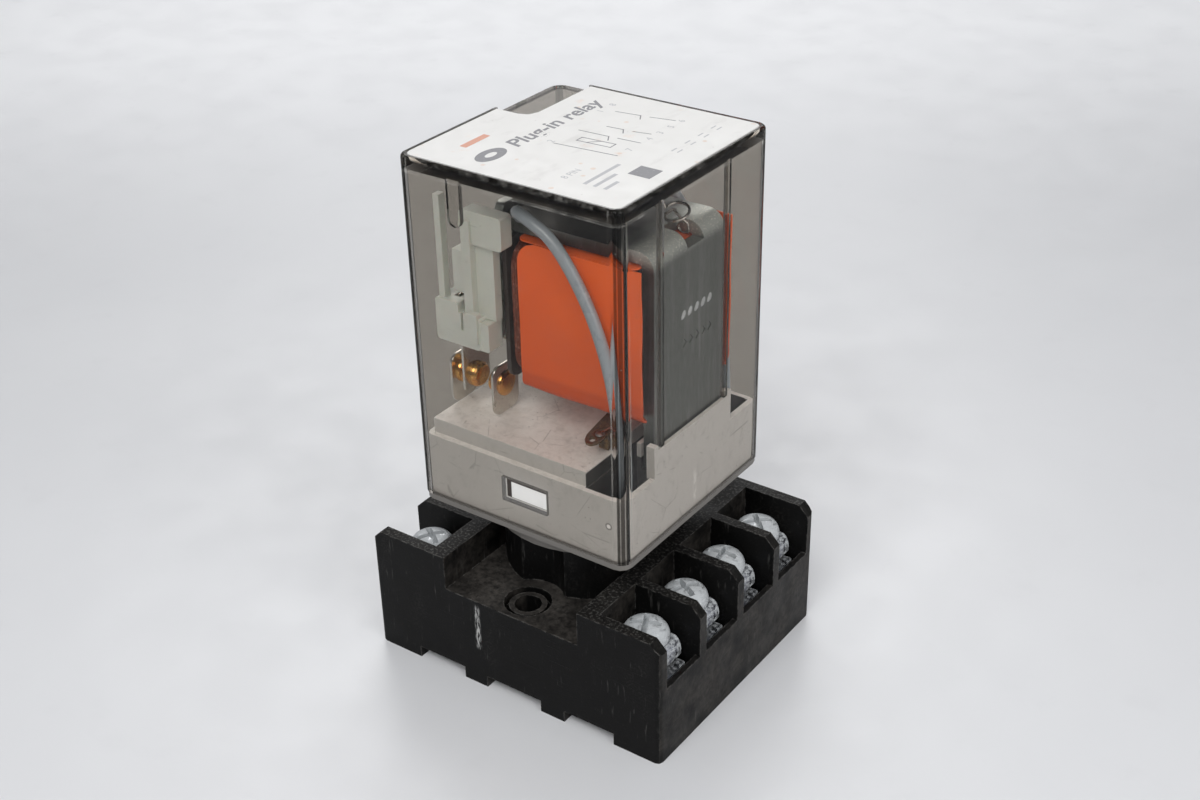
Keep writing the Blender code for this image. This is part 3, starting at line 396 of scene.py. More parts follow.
def worn_metal(name, light, dark, rough, spot=None, spot_share=0.3, grain=(1, 1, 1), tint=None, worn=0.0):
    """Plated metal: cloudy tone, fine grain, dull spots, an optional heat tint and rubbed edges."""
    g, cloud = clouded(name, dark, light, 2.5, 5.0)
    fine = g.noise(0.25, 4.0, grain)
    g.paint(tuple(0.6 * value for value in dark), g.ramp(fine, 0.35, 0.7), 0.35)
    if tint:
        film = g.patches(0.46, 0.62, 1.8, 2.0)
        g.paint(tint, film, 0.55)
    if worn:
        rubbed = g.times(g.edge(0.5), g.patches(0.45, 0.62, 0.35, 4.0), worn)
        g.paint((0.86, 0.85, 0.80), rubbed)
    level = g.ramp(cloud, 0.3, 0.7, rough * 0.75, rough * 1.3)
    normal = g.bump(g.math("ADD", fine, g.times(cloud, 0.5)), 0.02)
    metal = g.principled(g.colour, level, normal, Metallic=1.0)
    if spot is None:
        return g.done(metal)
    patch = g.patches(0.62 - spot_share * 0.5, 0.80 - spot_share * 0.5, 0.9, 6.0, rough=0.7)
    crust = g.principled(spot, 0.8, g.bump(g.noise(0.2, 4.0), 0.04))
    return g.done(g.mix_shader(patch, metal, crust))


def yoke_steel():
    """Bare steel, its top painted near black as painted shade, and the bend painted pale with bright specks
    as a painted highlight.
    """
    g, cloud = clouded("yoke_steel", (0.155, 0.165, 0.152), (0.27, 0.282, 0.265), 3.0, 5.0)
    fine = g.noise(0.25, 4.0, (1, 1, 0.25))
    g.paint((0.10, 0.108, 0.10), g.ramp(fine, 0.35, 0.7), 0.35)
    streaks = g.patches(0.45, 0.70, 1.1, 4.0, (1, 1, 0.07))
    g.paint((0.36, 0.375, 0.355), streaks, g.ramp(g.z, 66.0, 42.0, 0.25, 0.75))
    # Painted shade: upward faces left of the bend painted near black.
    up = g.ramp(g.normal[2], 0.55, 0.9)
    g.paint((0.022, 0.022, 0.020), up, g.ramp(g.x, 12.0, 9.0), 0.9)
    # Painted highlight: the bend painted pale, with bright specks for glints.
    bend = g.times(g.ramp(g.z, 67.6, 69.6), g.ramp(g.x, 11.0, 13.5))
    g.paint((0.62, 0.65, 0.60), bend, 0.75)
    specks = g.times(g.patches(0.60, 0.66, 0.22, 2.0), bend)
    g.paint((1.0, 0.97, 0.86), specks)
    rough = g.ramp(cloud, 0.3, 0.7, 0.30, 0.46)
    height = g.math("ADD", fine, g.times(specks, 0.8))
    # Less metallic under the painted highlight, so its pale colour shows.
    metallic = g.math("SUBTRACT", 1.0, g.times(bend, 0.55))
    return g.coated(rough, height, 0.03, Metallic=metallic)


def orange_sheet():
    """Matt insulating sheet with faint rubs and a fibre texture."""
    g, _ = clouded("orange_tape", (0.86, 0.118, 0.014), (0.95, 0.150, 0.020), 6.0, 4.0)
    # Painted shade: darker towards the bottom, and darker still in the band below the crease.
    g.paint((0.58, 0.080, 0.012), g.ramp(g.z, 68.0, 47.0, 0.0, 0.5))
    g.paint((0.52, 0.066, 0.010), g.ramp(g.z, 50.0, 48.6, 0.0, 0.7))
    rub = g.patches(0.6, 0.8, 2.0, 6.0, (1, 1, 0.5))
    g.paint((0.62, 0.10, 0.035), rub, 0.3)
    specks = g.times(g.dots(0.9, 0.05, 0.09), g.patches(0.52, 0.62, 2.0, 2.0))
    g.paint((0.25, 0.05, 0.02), specks, 0.6)
    weave = g.noise(0.16, 2.0, (1, 1, 3))
    return g.coated(0.5, weave, 0.012, Specular_IOR_Level=0.35)


def enamelled_wire():
    """Red-brown enamel over copper, glossy."""
    g, cloud = clouded("enamelled_wire", (0.10, 0.022, 0.010), (0.36, 0.090, 0.036), 0.8, 4.0, (3, 1, 1))
    rough = g.ramp(g.noise(0.5, 2.0), 0.3, 0.7, 0.16, 0.3)
    return g.coated(rough, cloud, 0.01, Metallic=0.55, Coat_Weight=0.6)


def plain_plastic(name, dark, light, rough, grain=0.3, coat=0.0):
    """Simple moulded or extruded plastic with a slight cloudiness."""
    g, cloud = clouded(name, dark, light, 2.0, 4.0)
    marks = g.patches(0.6, 0.78, 0.6, 6.0)
    g.paint(tuple(0.55 * value for value in dark), marks, 0.3)
    level = g.ramp(cloud, 0.3, 0.7, rough * 0.85, rough * 1.15)
    return g.coated(level, g.noise(grain, 3.0), 0.01, Coat_Weight=coat)


def floor_finish():
    """Pale painted table top."""
    g, _ = clouded("pale_floor", (0.66, 0.665, 0.68), (0.72, 0.725, 0.735), 60.0, 4.0)
    away = g.math("SUBTRACT", g.times(g.y, 0.8), g.times(g.x, 0.6))
    g.paint((0.97, 0.975, 0.985), g.ramp(away, 130.0, 320.0))
    faint = g.patches(0.55, 0.8, 9.0, 6.0)
    g.paint((0.55, 0.55, 0.56), faint, 0.12)
    rough = g.ramp(g.noise(14.0, 5.0), 0.3, 0.7, 0.30, 0.42)
    return g.coated(rough, g.noise(0.8, 3.0), 0.01)


BLACK = black_plastic()
GREY = grey_plastic()
CARRIER = carrier_plastic()
SMOKED = smoked_plastic()
CARD = label_card()
INK = ink("printing_ink", (0.10, 0.10, 0.115))
FAINT_INK = ink("faint_ink", (0.38, 0.38, 0.40))
ORANGE_INK = ink("orange_ink", (0.55, 0.20, 0.10))
WHITE_RUST = (0.47, 0.49, 0.50)
ZINC = worn_metal("zinc", (0.92, 0.93, 0.94), (0.70, 0.72, 0.74), 0.40, WHITE_RUST, 0.60, worn=0.5)
BLUED_ZINC = worn_metal(
    "blued_zinc", (0.80, 0.82, 0.86), (0.50, 0.52, 0.60), 0.34, WHITE_RUST, 0.42, tint=(0.40, 0.40, 0.66)
)
STEEL = worn_metal(
    "steel", (0.47, 0.485, 0.46), (0.30, 0.315, 0.295), 0.38, (0.20, 0.21, 0.185), 0.12, (1, 1, 0.25)
)
YOKE_STEEL = yoke_steel()
BRASS = worn_metal("brass", (0.78, 0.52, 0.20), (0.45, 0.27, 0.09), 0.28, (0.18, 0.10, 0.04), 0.18)
TAB_BRASS = worn_metal("tab_brass", (0.42, 0.29, 0.15), (0.17, 0.11, 0.06), 0.42, (0.09, 0.055, 0.03), 0.45)
GILT = worn_metal(
    "gilt", (0.96, 0.58, 0.20), (0.58, 0.27, 0.07), 0.16, (0.20, 0.08, 0.03), 0.16, tint=(0.62, 0.24, 0.08)
)
STRIP = worn_metal("contact_strip", (0.80, 0.78, 0.72), (0.60, 0.57, 0.51), 0.18, (0.24, 0.20, 0.15), 0.08)
SPRING = worn_metal("spring_steel", (0.62, 0.58, 0.53), (0.34, 0.31, 0.28), 0.28, (0.20, 0.11, 0.06), 0.16)
COPPER = worn_metal("copper", (0.62, 0.28, 0.15), (0.30, 0.12, 0.06), 0.30)
SOLDER = worn_metal("solder", (0.62, 0.62, 0.60), (0.38, 0.38, 0.37), 0.32)
ORANGE = orange_sheet()
ENAMEL = enamelled_wire()
BOBBIN = plain_plastic("bobbin_plastic", (0.020, 0.014, 0.011), (0.045, 0.032, 0.025), 0.42)
# Pale plastic for the cover latches: a lit copy of the grey moulding, painted light.
LIT_LATCH = plain_plastic("lit_latch_plastic", (0.78, 0.77, 0.74), (0.86, 0.85, 0.82), 0.45)
LEAD_GREY = plain_plastic("grey_wire", (0.25, 0.285, 0.31), (0.31, 0.345, 0.37), 0.30, 0.15, 0.2)


# --- mesh tools


def mm(x, y, z):
    return Vector((x, y, z)) * MM


def at(x, y, z):
    """A shift to a place in millimetres."""
    return Matrix.Translation(mm(x, y, z))


def rotation(degrees, axis):
    return Matrix.Rotation(math.radians(degrees), 4, axis)


def box_mm(node):
    """The low and high corners of a CAD node in millimetres."""
    return [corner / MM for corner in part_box(node)]


def outward(side, near, far):
    """The range of y between two distances on one side, in rising order."""
    return sorted((side * near, side * far))


def box_into(bm, low, high):
    """Adds a box given in millimetres and returns its vertices."""
    size = [(b - a) * MM for a, b in zip(low, high)]
    centre = [(a + b) / 2 * MM for a, b in zip(low, high)]
    matrix = Matrix.Translation(centre) @ Matrix.Diagonal((*size, 1.0))
    return bmesh.ops.create_cube(bm, size=1.0, matrix=matrix)["verts"]


def mesh_of(bm):
    """The finished mesh, its faces left as they are."""
    mesh = bpy.data.meshes.new("mesh")
    bm.to_mesh(mesh)
    bm.free()
    return mesh


def mesh_from(bm):
    """The finished mesh, its faces turned outwards."""
    bmesh.ops.recalc_face_normals(bm, faces=bm.faces)
    return mesh_of(bm)


def bevel(bm, edges, width, segments, **more):
    options = {"offset": width * MM, "segments": segments, "profile": 0.5, "affect": "EDGES"}
    bmesh.ops.bevel(bm, geom=edges, **options, **more)


def round_uprights(bm, radius, segments):
    """Rounds every edge that runs along Z."""
    edges = []
    for edge in bm.edges:
        run = edge.verts[1].co - edge.verts[0].co
        if run.length > 0 and abs(run.z) > 0.99 * run.length:
            edges.append(edge)
    bevel(bm, edges, radius, segments)


def block(low, high, corner=0.0, segments=4):
    bm = bmesh.new()
    box_into(bm, low, high)
    if corner:
        round_uprights(bm, corner, segments)
    return mesh_from(bm)


def several(bounds):
    bm = bmesh.new()
    for low, high in bounds:
        box_into(bm, low, high)
    return mesh_from(bm)


def linked(name, data):
    """A new object in the scene."""
    obj = bpy.data.objects.new(name, data)
    bpy.context.scene.collection.objects.link(obj)
    return obj


def boolean(first, second, operation="DIFFERENCE"):
    """The mesh that is left when the second mesh is taken from, or joined to, the first."""
    target = linked("target", first)
    tool = linked("tool", second)
    modifier = target.modifiers.new("cut", "BOOLEAN")
    modifier.operation = operation
    modifier.solver = "EXACT"
    modifier.object = tool
    bpy.context.view_layer.update()
    depsgraph = bpy.context.evaluated_depsgraph_get()
    mesh = bpy.data.meshes.new_from_object(target.evaluated_get(depsgraph))
    for obj in (target, tool):
        bpy.data.objects.remove(obj, do_unlink=True)
    return mesh


def softened(mesh, width, segments=2, angle=30):
    """A copy with welded corners, flat faces made whole, and every sharp edge rounded."""
    bm = bmesh.new()
    bm.from_mesh(mesh)
    bmesh.ops.remove_doubles(bm, verts=bm.verts, dist=WELD)
    bmesh.ops.dissolve_limit(bm, angle_limit=math.radians(1), verts=bm.verts, edges=bm.edges)
    if width:
        sharp = []
        for edge in bm.edges:
            if len(edge.link_faces) == 2 and edge.calc_face_angle() > math.radians(angle):
                sharp.append(edge)
        bevel(bm, sharp, width, segments, clamp_overlap=True, miter_outer="ARC")
    return mesh_of(bm)


def piece(name, mesh, body, material, slot, nodes=(), place=None, turn=0.0, angle=35, weighted=True):
    """Links a mesh as a piece of the object that rides on a body and stands for the given nodes."""
    if not mesh.polygons:
        raise ValueError("%s has no faces" % name)
    obj = linked(name, mesh)
    mesh.materials.clear()
    mesh.materials.append(material)
    mesh.shade_smooth()
    mesh.set_sharp_from_angle(angle=math.radians(angle))
    if place is not None:
        obj.matrix_world = Matrix.Translation(place) @ Matrix.Rotation(turn, 4, "Z")
    if weighted:
        modifier = obj.modifiers.new("flat_faces", "WEIGHTED_NORMAL")
        modifier.keep_sharp = True
    if body is not None:
        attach(obj, body)
    if nodes:
        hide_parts(*nodes)
    return obj


def skin(node, mesh, body, material, slot, **options):
    """A piece that stands for one CAD node."""
    return piece(node + "_skin", mesh, body, material, slot, (node,), **options)


def refined(node, width, material, slot, segments=2):
    """The CAD node's own shape with rounded edges, shown in the node's place."""
    source = NODES[node]
    skin(node, softened(source.data, width, segments), source["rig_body"], material, slot)


def turned(profile, steps):
    """Spins (radius, height) points in millimetres, listed top to bottom, about Z."""
    bm = bmesh.new()
    rings = []
    for radius, height in profile:
        if radius < 1e-6:
            rings.append([bm.verts.new(mm(0, 0, height))])
            continue
        ring = []
        for i in range(steps):
            angle = 2 * math.pi * i / steps
            ring.append(bm.verts.new(mm(radius * math.cos(angle), radius * math.sin(angle), height)))
        rings.append(ring)
    for upper, lower in zip(rings, rings[1:]):
        for i in range(steps):
            k = (i + 1) % steps
            corners = [upper[i % len(upper)], upper[k % len(upper)]]
            corners += [lower[k % len(lower)], lower[i % len(lower)]]
            bm.faces.new(list(dict.fromkeys(corners)))
    return mesh_from(bm)


def disc(radius, half, steps):
    """A round plate about Z, also used to cut a hole."""
    return turned([(0, half), (radius, half), (radius, -half), (0, -half)], steps)


def loops_mesh(loops, capped=True):
    """Skins a row of vertex loops that all have the same count."""
    bm = bmesh.new()
    rows = [[bm.verts.new(point) for point in loop] for loop in loops]
    for first, second in zip(rows, rows[1:]):
        for i in range(len(first)):
            k = (i + 1) % len(first)
            bm.faces.new((first[i], first[k], second[k], second[i]))
    if capped:
        bm.faces.new(list(reversed(rows[0])))
        bm.faces.new(rows[-1])
    return mesh_from(bm)


def extruded(outline, axis, low, high):
    """A flat outline in millimetres pushed along an axis: pairs are the other two axes in order."""
    loops = []
    for level in (low, high):
        loop = []
        for a, b in outline:
            point = [a, b]
            point.insert(axis, level)
            loop.append(mm(*point))
        loops.append(loop)
    return loops_mesh(loops)


def smooth_path(points, steps):
    """Points along a smooth path through the given ones."""
    ends = [Vector(points[0]) * 2 - Vector(points[1])]
    ends += [Vector(point) for point in points]
    ends.append(Vector(points[-1]) * 2 - Vector(points[-2]))
    path = []
    for i in range(1, len(ends) - 2):
        a, b, c, d = ends[i - 1 : i + 3]
        for k in range(steps):
            t = k / steps
            start = 2 * b + (c - a) * t + (2 * a - 5 * b + 4 * c - d) * t**2
            path.append(0.5 * (start + (3 * b - a - 3 * c + d) * t**3))
    path.append(ends[-2])
    return path


def tube(path, radius, sides):
    """A round tube along a path in millimetres, turned as little as possible along the way."""
    points = [Vector(point) for point in path]
    tangents = []
    for i in range(len(points)):
        tangents.append((points[min(i + 1, len(points) - 1)] - points[max(i - 1, 0)]).normalized())
    side = tangents[0].orthogonal().normalized()
    loops = []
    for point, along in zip(points, tangents):
        side = (side - along * side.dot(along)).normalized()
        other = along.cross(side)
        loop = []
        for k in range(sides):
            angle = 2 * math.pi * k / sides
            loop.append((point + (side * math.cos(angle) + other * math.sin(angle)) * radius) * MM)
        loops.append(loop)
    return loops_mesh(loops)


def arc(a, b, radius, start, end, steps):
    """Points along an arc about (a, b), its ends in degrees."""
    points = []
    for i in range(steps + 1):
        angle = math.radians(start + (end - start) * i / steps)
        points.append((a + radius * math.cos(angle), b + radius * math.sin(angle)))
    return points


def rounded_outline(half_a, half_b, corner, steps=5, centre=(0.0, 0.0)):
    """Points round a rectangle with rounded corners."""
    points = []
    for sign_a, sign_b, start in ((1, 1, 0), (-1, 1, 90), (-1, -1, 180), (1, -1, 270)):
        a = centre[0] + sign_a * (half_a - corner)
        b = centre[1] + sign_b * (half_b - corner)
        points += arc(a, b, corner, start, start + 90, steps)
    return points


def moved(mesh, matrix):
    mesh.transform(matrix)
    return mesh


# --- socket and terminals


def build_socket():
    refined("socket_body", 0.16, BLACK, "black_plastic")


def screw_mesh():
    """Pan head with a crossed recess on a threaded shank. The head's seat is at zero."""
    head, shank, length, pitch, depth = 3.38, 1.6, 9.0, 0.6, 0.16
    profile = [(0, 2.85), (0.9, 2.83), (1.7, 2.74), (2.3, 2.52), (2.85, 2.15), (3.2, 1.65)]
    profile += [(head, 1.05), (head, 0.45), (head - 0.12, 0.12), (head - 0.5, 0.0), (1.7, 0.0)]
    height = 0.0
    while height > -length:
        profile += [(shank, height - 0.10), (shank, height - 0.18)]
        profile += [(shank - depth, height - 0.42), (shank - depth, height - 0.5)]
        height -= pitch
    profile += [(1.1, height - 0.3), (0, height - 0.3)]
    mesh = turned(profile, 40)
    long, half, floor = 2.2, 0.42, 1.5
    for x, y in ((long, half), (half, long)):
        mesh = boolean(mesh, block((-x, -y, floor), (x, y, 4.0)))
    return softened(mesh, 0.06, 2, 32)


def clamp_mesh():
    """Arched saddle plate with a hole and two grooves, its ends turned down."""
    half_x, half_y, top, thick, drop = 3.78, 3.3, 0.88, 0.80, 2.78
    level, groove = 0.42, 2.7
    outer, inner = [], []
    for i in range(25):
        t = -1 + i / 12
        x = half_x * math.sin(t * math.pi / 2)
        share = max(0.0, abs(t) - level) / (1 - level)
        z = top - drop * share**2.2
        outer.append((x, z))
        inner.append((x * 0.80, z - thick + 0.70 * share))
    plate = extruded(outer + list(reversed(inner)), 1, -half_y, half_y)
    plate = boolean(plate, disc(SCREW_HOLE, 3, 32))
    grooves = several([((-9, y - 0.12, 0.74), (9, y + 0.12, 2.0)) for y in (-groove, groove)])
    return softened(boolean(plate, grooves), 0.10, 2, 32)


def strip_mesh():
    """Tapped terminal strip with a cut edge. Its top is at zero."""
    strip = extruded(rounded_outline(4.28, 3.78, 0.5), 2, -1.1, 0.0)
    return softened(boolean(strip, disc(SCREW_HOLE, 3, 32)), 0.08, 2, 32)


def build_terminals():
    screw, clamp, strip = screw_mesh(), clamp_mesh(), strip_mesh()
    for number in NUMBERS:
        low, high = box_mm("terminal_screw_%d" % number)
        x, y = (low.x + high.x) / 2, (low.y + high.y) / 2
        turn = math.radians(37 * number % 90 + 20)
        place = mm(x, y, SCREW_SEAT)
        skin("terminal_screw_%d" % number, screw, "screw_%d" % number, ZINC, "zinc", place=place, turn=turn)
        place = mm(x, y, CLAMP_SEAT)
        skin("clamp_plate_%d" % number, clamp, "clamp_%d" % number, BLUED_ZINC, "zinc", place=place)
        node = "terminal_%d" % number
        place = mm(x, y, box_mm(node)[1].z)
        skin(node, strip, "socket", BLUED_ZINC, "plated_steel", place=place)


# --- relay case


def build_base():
    refined("relay_base", 0.12, GREY, "grey_plastic")
    face = 16.62
    for side, label in SIDES:
        # Painted shadow: a thin near-black sheet round the latch stands for the shade in its recess.
        near, far = outward(side, face, face + 0.11)
        recess = softened(block((-2.7, near, 32.1), (4.8, far, 35.7)), 0.03)
        piece("latch_shadow_sheet_" + label, recess, "relay", BOBBIN, "grey_plastic")
        # The latch gets the paler lit plastic: painted light.
        near, far = outward(side, face, face + 0.18)
        latch = softened(block((-1.9, near, 32.2), (4.6, far, 34.7)), 0.06)
        piece("cover_latch_" + label, latch, "relay", LIT_LATCH, "grey_plastic")


def build_pins():
    low, high = box_mm("octal_pin_1")
    top, tip, radius = high.z, low.z, 1.17
    profile = [(0, top), (radius, top), (radius, tip + 1.1), (1.05, tip + 0.45), (0.85, tip + 0.1)]
    mesh = turned(profile + [(0.6, tip), (0, tip + 0.15)], 24)
    for number in NUMBERS:
        node = "octal_pin_%d" % number
        low, high = box_mm(node)
        place = mm((low.x + high.x) / 2, (low.y + high.y) / 2, 0)
        skin(node, mesh, "relay", BRASS, "brass", place=place)


def build_cover():
    """One clear moulding: thin walls, guide ribs, label recess, pick-up corner and two windows."""
    low, high = box_mm("cover")
    beside, above = 30, 90
    bm = bmesh.new()
    box_into(bm, low, high)
    round_uprights(bm, 1.8, 8)
    rim = [e for e in bm.edges if all(abs(v.co.z - high.z * MM) < WELD for v in e.verts)]
    bevel(bm, rim, 0.5, 4)
    shell = mesh_from(bm)
    inner = high.x - 0.9
    cavity = block((-inner, -inner, 10), (inner, inner, 78.0), 0.9, 6)
    ribs = [((inner - 0.65, y - 0.4, 42.5), (inner + 1, y + 0.4, above)) for y in (-8.0, 8.0)]
    cavity = boolean(cavity, several(ribs))
    left, right, foot = -9.8, -7.7, 72.4
    outline = [(left, above), (left, foot), (left + 0.3, foot - 0.6), ((left + right) / 2, foot - 0.9)]
    outline += [(right - 0.3, foot - 0.6), (right, foot), (right, above)]
    for side, _ in SIDES:
        stub = extruded(outline, 1, side * 18.0, side * (inner - 0.7))
        cavity = boolean(cavity, stub)
    shell = boolean(shell, cavity)
    recess = 17.05
    shell = boolean(shell, block((-recess, -recess, 79.7), (recess, recess, above), 1.2, 6))
    shell = boolean(shell, block((-beside, 3.0, 78.9), (-11.6, beside, above), 1.8, 6))
    windows = []
    for side, _ in SIDES:
        near, far = outward(side, inner - 1, beside)
        windows.append(((-2.8, near, 32.0), (4.9, far, 35.8)))
    shell = boolean(shell, several(windows))
    skin("cover", softened(shell, 0.0), "cover", SMOKED, "smoked_plastic", angle=28)


def text_mesh(words, size, place, slant=0.0, bold=0.0, width=None):
    """Flat printed text that reads along +Y with its top towards -X, set to a width if one is given."""
    curve = bpy.data.curves.new("text", "FONT")
    curve.body = words
    curve.size = size * MM
    curve.shear = slant
    curve.offset = bold * MM
    curve.extrude = INK_HALF * MM
    curve.align_y = "CENTER"
    curve.resolution_u = 3
    obj = linked("text", curve)
    bpy.context.view_layer.update()
    mesh = bpy.data.meshes.new_from_object(obj.evaluated_get(bpy.context.evaluated_depsgraph_get()))
    bpy.data.objects.remove(obj, do_unlink=True)
    fit = 1.0
    if width:
        reach = [vert.co.x for vert in mesh.vertices]
        fit = width * MM / (max(reach) - min(reach))
    return moved(mesh, at(*place) @ rotation(90, "Z") @ Matrix.Diagonal((fit, 1.0, 1.0, 1.0)))


def joined(meshes):
    bm = bmesh.new()
    for mesh in meshes:
        bm.from_mesh(mesh)
    return mesh_of(bm)


def stroke(points, width, height):
    """A printed line through points (x, y) in millimetres, as one thin box a part."""
    meshes = []
    for (ax, ay), (bx, by) in zip(points, points[1:]):
        run = math.hypot(bx - ax, by - ay) + width
        bar = block((-run / 2, -width / 2, -INK_HALF), (run / 2, width / 2, INK_HALF))
        turn = Matrix.Rotation(math.atan2(by - ay, bx - ax), 4, "Z")
        meshes.append(moved(bar, at((ax + bx) / 2, (ay + by) / 2, height) @ turn))
    return meshes


def build_label():
    refined("label", 0.05, CARD, "label_card")
    top = box_mm("label")[1].z + 0.006
    low, high = top - INK_HALF, top + INK_HALF
    thin, digit_size = 0.16, 1.5
    dark = [text_mesh("Plug-in relay", 3.5, (-6.7, -7.4, top), 0.15, 0.07, 19.8)]
    faint = [text_mesh("8 PIN", digit_size, (5.6, -12.6, top))]
    rows = [
        ([(-2.5, -3.6), (7.0, -2.8)], "7", (7.2, -0.6)),
        ([(-2.5, 2.0), (2.2, 2.2), (2.9, 1.0)], "4", (7.2, 4.0)),
        ([(3.6, 2.3), (7.0, 2.5)], "3", (7.2, 6.6)),
        ([(-0.1, 5.1), (2.4, 5.3), (3.1, 4.2)], "5", (7.2, 9.2)),
        ([(3.9, 5.4), (6.4, 5.9)], "6", (7.2, 11.8)),
        ([(-2.4, 10.4), (1.4, 10.9), (2.1, 9.7)], "1", (-4.2, 9.0)),
        ([(2.8, 11.1), (6.4, 11.8)], "8", (-4.2, 12.0)),
    ]
    for line, digit, place in rows:
        dark += stroke(line, thin, top)
        faint.append(text_mesh(digit, digit_size, (*place, top)))
    faint.append(text_mesh("2", digit_size, (-3.2, -3.6, top)))
    coil = [(-0.6, -1.2), (4.6, -0.9), (4.6, 0.4), (-0.6, 0.1), (-0.6, -1.2)]
    dark += stroke(coil, thin, top)
    dark += stroke([(0.9, -1.1), (2.4, 0.25)], thin, top)
    for y in (2.8, 6.0, 9.2, 12.4):
        for x in (12.0, 12.9):
            faint += stroke([(x, y - 0.4), (x, y + 0.6)], 0.22, top)
    for x, start, end in ((8.9, -12.4, -5.0), (10.4, -12.4, -8.6), (12.0, -12.4, -9.8)):
        y = start
        while y < end:
            faint += stroke([(x, y), (x, y + 0.45)], 0.55, top)
            y += 0.95
    emblem = at(-6.9, -11.3, top)
    dark.append(moved(disc(2.1, INK_HALF, 32), emblem @ Matrix.Diagonal((0.76, 1.3, 1.0, 1.0))))
    dark.append(block((11.5, -7.0, low), (14.8, -3.9, high)))
    hole = at(0, 0, 0.006) @ emblem @ Matrix.Diagonal((0.55, 1.1, 1.0, 1.0))
    prints = (
        ("label_print_dark", joined(dark), INK),
        ("label_print_faint", joined(faint), FAINT_INK),
        ("label_print_ring", moved(disc(1.0, INK_HALF, 24), hole), CARD),
        ("label_print_bar", block((-12.3, -11.1, low), (-11.2, -6.0, high)), ORANGE_INK),
    )
    for name, mesh, finish in prints:
        piece(name, mesh, "cover", finish, "label_card", weighted=False)


# --- magnet


def build_yoke():
    """Bent steel strip with a notch at the bend and two rows of staking marks."""
    low, high = box_mm("yoke")
    thick, bend = 1.8, 2.4
    x, z = high.x - bend, high.z - bend
    outline = [(low.x, high.z)] + arc(x, z, bend, 90, 0, 10)
    outline += [(high.x, low.z), (high.x - thick, low.z)]
    outline += arc(x, z, bend - thick, 0, 90, 10) + [(low.x, high.z - thick)]
    mesh = extruded(outline, 1, low.y, high.y)
    mesh = boolean(mesh, block((11.8, -0.6, 68.4), (30, 3.4, 80), 0.5))
    mesh = softened(mesh, 0.14, 2, 32)
    marks = bmesh.new()
    for i in range(5):
        y = -1.4 + 1.55 * i
        verts = box_into(marks, (high.x - 0.16, -0.5, -0.5), (high.x + 1, 0.5, 0.5))
        bmesh.ops.rotate(marks, verts=verts, matrix=Matrix.Rotation(math.radians(40), 3, "X"))
        bmesh.ops.translate(marks, verts=verts, vec=mm(0, y, 54.9))
    mesh = boolean(mesh, mesh_from(marks))
    skin("yoke", mesh, "relay", YOKE_STEEL, "steel")
    burrs = []
    for i in range(5):
        burr = turned([(0, 0.30), (0.34, 0.25), (0.58, 0.10), (0.64, -0.05), (0, -0.05)], 16)
        stretch = Matrix.Diagonal((1.15, 0.55, 1.0, 1.0))
        turn = rotation(90, "Y") @ rotation(-35, "Z")
        burrs.append(moved(burr, at(high.x, -1.6 + 1.6 * i, 59.2) @ turn @ stretch))
    piece("yoke_marks", joined(burrs), "relay", ZINC, "steel", weighted=False)


def build_winding():
    """Layered turns of fine wire round the bobbin, one ridge a turn."""
    low, high = box_mm("coil_winding")
    centre_z = (low.z + high.z) / 2
    half_y, half_z = (high.y - low.y) / 2 - 0.12, (high.z - low.z) / 2 - 0.12
    draw = random.Random(7)
    pitch = 0.19
    count = int((high.x - low.x - 0.1) / pitch)
    loops = []

    def ring(x, grow):
        outline = rounded_outline(half_y + grow, half_z + grow, 3.4 + grow, 6)
        return [mm(x, y, centre_z + z) for y, z in outline]

    bore = rounded_outline(5.3, 3.6, 0.3, 6)
    loops.append([mm(low.x, y, centre_z + z) for y, z in bore])
    x = low.x + 0.05
    for _ in range(count):
        lift = draw.uniform(-0.05, 0.03)
        for part, grow in ((0.0, -0.07), (0.25, 0.0), (0.5, 0.03), (0.75, 0.0)):
            loops.append(ring(x + part * pitch, grow + lift))
        x += pitch
    loops.append(ring(high.x - 0.02, -0.07))
    loops.append([mm(high.x, y, centre_z + z) for y, z in bore])
    loops.append(loops[0])
    bm = bmesh.new()
    bm.from_mesh(loops_mesh(loops, False))
    bmesh.ops.remove_doubles(bm, verts=bm.verts, dist=WELD)
    mesh = mesh_of(bm)
    skin("coil_winding", mesh, "relay", ENAMEL, "copper", weighted=False, angle=60)


